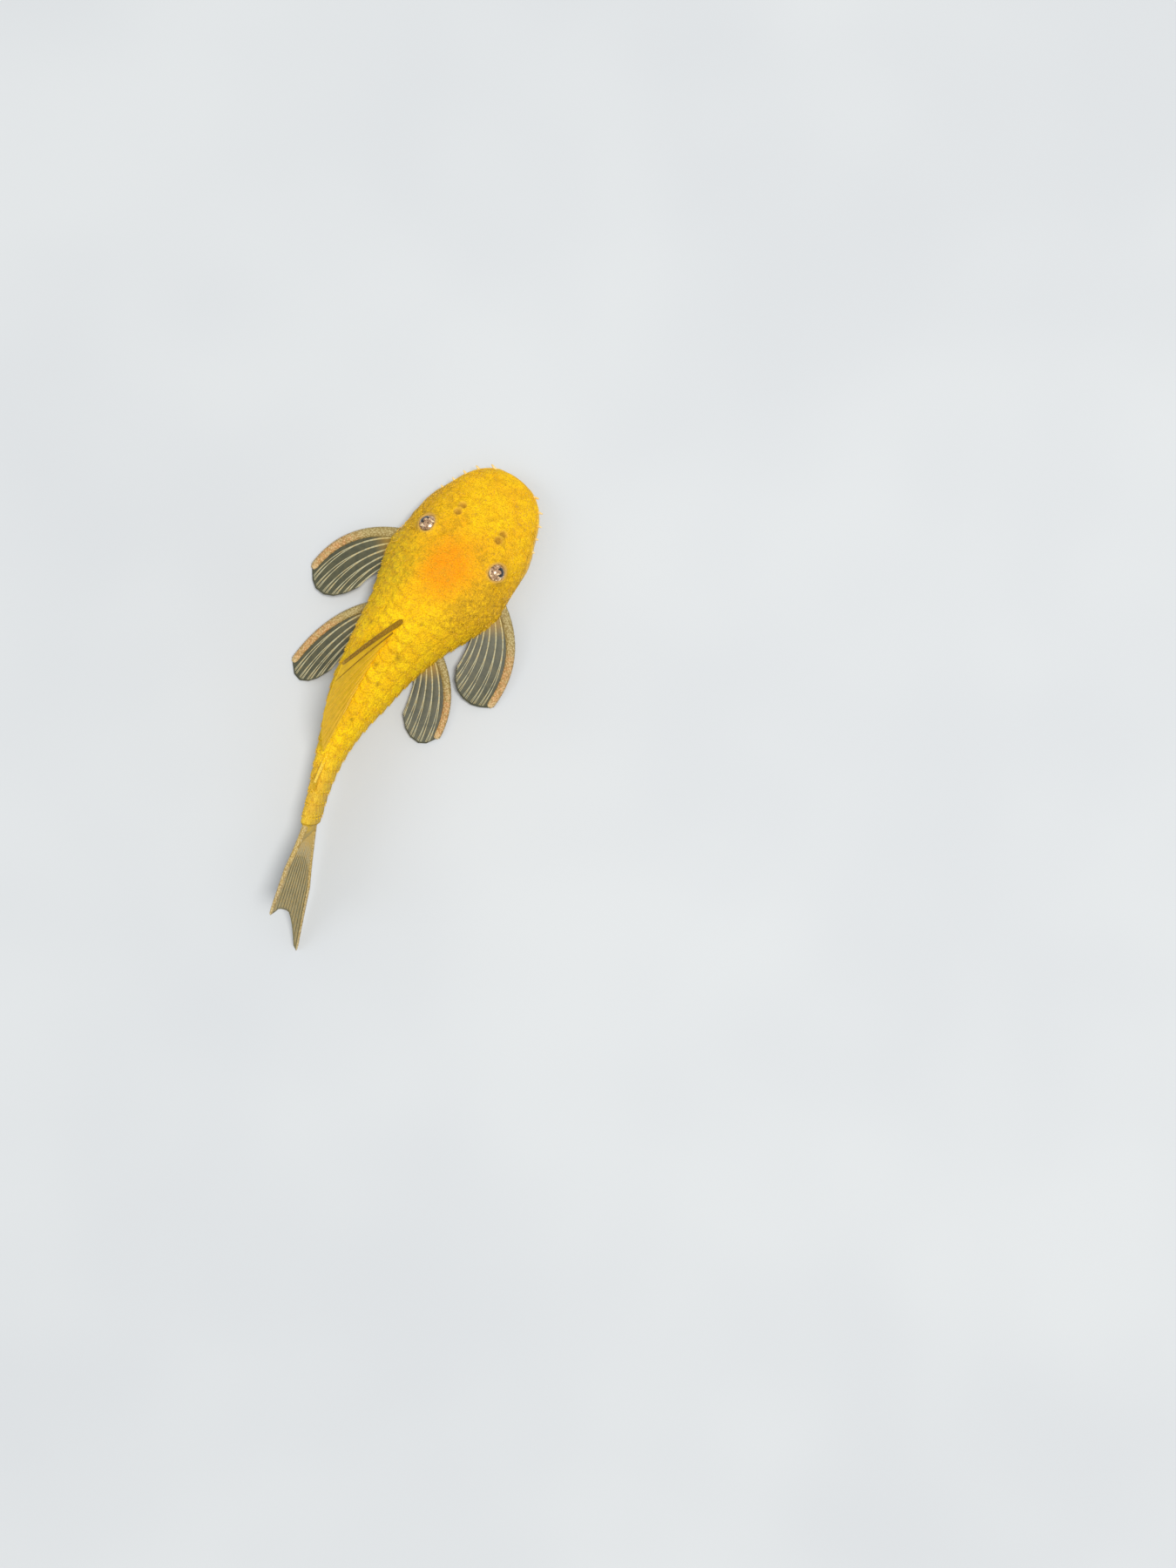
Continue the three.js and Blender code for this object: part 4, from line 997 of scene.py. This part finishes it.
# The finishes of a fin: its web, its rays and its spine
OLIVE_FIN = [
    fin_web("olive_web", (0.066, 0.068, 0.042), 0.93, (0.1, 0.095, 0.052)),
    fin_ray("cream_ray", (0.44, 0.42, 0.27), (0.62, 0.46, 0.12)),
    fin_spine("tan_spine", (0.38, 0.3, 0.12), (0.56, 0.3, 0.12), (0.6, 0.5, 0.27))]
AMBER_FIN = [
    fin_web("amber_web", (0.9, 0.57, 0.015), 0.66, (0.72, 0.45, 0.015), YELLOW),
    fin_ray("amber_ray", (0.66, 0.39, 0.012), (0.74, 0.45, 0.008)),
    fin_spine("brown_spine", (0.3, 0.155, 0.006), (0.2, 0.1, 0.005), (0.42, 0.25, 0.02))]
KHAKI_FIN = [
    fin_web("khaki_web", (0.22, 0.19, 0.08), 0.9, (0.15, 0.12, 0.042), GOLD),
    fin_ray("khaki_ray", (0.34, 0.28, 0.14), (0.62, 0.4, 0.055)),
    fin_spine("khaki_spine", (0.5, 0.35, 0.11), (0.44, 0.33, 0.16), (0.62, 0.52, 0.3))]
GOLD_SPINE = fin_spine("gold_spine", YELLOW, (0.9, 0.6, 0.06), (1.0, 0.74, 0.16), OCHRE)

body_skin()
denticles()
snout_bristles()
mouth_disc()
for name, hand, pelvic in (("left", 1, PELVIC_LEFT), ("right", -1, PELVIC_RIGHT)):
    eye(name + "_eye", hand, "eye_" + name)
    barbel(name + "_barbel", hand, "barbel_" + name)
    Fin(paired_rays(hand, **PECTORAL), 1.5, 1.15, buried=0.1).make(
        name + "_pectoral_fin", "pectoral_fin_" + name, OLIVE_FIN)
    Fin(paired_rays(hand, **pelvic), 1.3, 1.0, buried=0.1).make(
        name + "_pelvic_fin", "pelvic_fin_" + name, OLIVE_FIN)
Fin(back_rays(27.9, 41, 8, (13.2, 8.6), (51, 8), 1.4, 10), 0.85, 0.8, 0.36, second=2).make(
    "back_fin", "dorsal_fin", AMBER_FIN, thorns=False)
Fin(back_rays(50.2, 53.4, 3, (4.4, 2), (34, 14), 1), 0.75, 0.7, 0.2, split=None).make(
    "small_back_fin", "adipose_fin", AMBER_FIN[:2] + [GOLD_SPINE], thorns=False)
Fin(anal_rays(), 0.7, 0.6).make("under_fin", "anal_fin", KHAKI_FIN, thorns=False)
Fin(tail_rays(), 0.9, 0.85, 0.4, lower=0.85).make("caudal_fin", "tail_fin", KHAKI_FIN, thorns=False)


def pale_floor():
    paint = Paint("pale_floor", roughness=0.6, specular=0.2)
    return paint.done(paint.blend(paint.stretched(paint.noise(60), 0.3, 0.7), FLOOR_GREY, FLOOR_PALE))


ground = bmesh.new()
bmesh.ops.create_grid(ground, x_segments=2, y_segments=2, size=2)
bmesh.ops.translate(ground, verts=ground.verts, vec=(0, 0, -0.02 * MM))
floor_mesh = bpy.data.meshes.new("floor")
ground.to_mesh(floor_mesh)
ground.free()
floor_mesh.materials.append(pale_floor())
floor = add_object("floor", floor_mesh)


def soft_light(name, at, size, power, tint):
    lamp = bpy.data.lights.new(name, "AREA")
    lamp.shape = "DISK"
    lamp.size = size
    lamp.energy = power
    lamp.color = tint
    light = add_object(name, lamp)
    light.location = at
    light.rotation_euler = (Vector((0, 0.01, 0)) - Vector(at)).to_track_quat("-Z", "Y").to_euler()


soft_light("key", (-0.3, -0.2, 1.45), 0.5, 19.5, (1, 0.98, 0.94))
soft_light("fill", (1.1, 0.9, 1.1), 1.0, 5, (0.92, 0.96, 1))
world = bpy.data.worlds.new("studio")
world.use_nodes = True
background = world.node_tree.nodes["Background"].inputs
background["Color"].default_value = (0.95, 0.97, 1, 1)
background["Strength"].default_value = 0.5
bpy.context.scene.world = world
bpy.context.scene.view_settings.view_transform = "Standard"

# The camera looks almost straight down on the back, from 172 mm, with the head towards the upper right
lens = bpy.data.cameras.new("camera")
lens.lens = 26
lens.sensor_width = 36
lens.clip_start = 0.005
camera = add_object("camera", lens)
tilt, turned = Matrix.Rotation(math.radians(3.8), 4, "Y"), Matrix.Rotation(math.radians(219), 4, "Z")
camera.matrix_world = tilt @ turned @ Matrix.Translation(Vector((25.4, -25.67, 172)) * MM)
bpy.context.scene.camera = camera

bpy.context.view_layer.update()
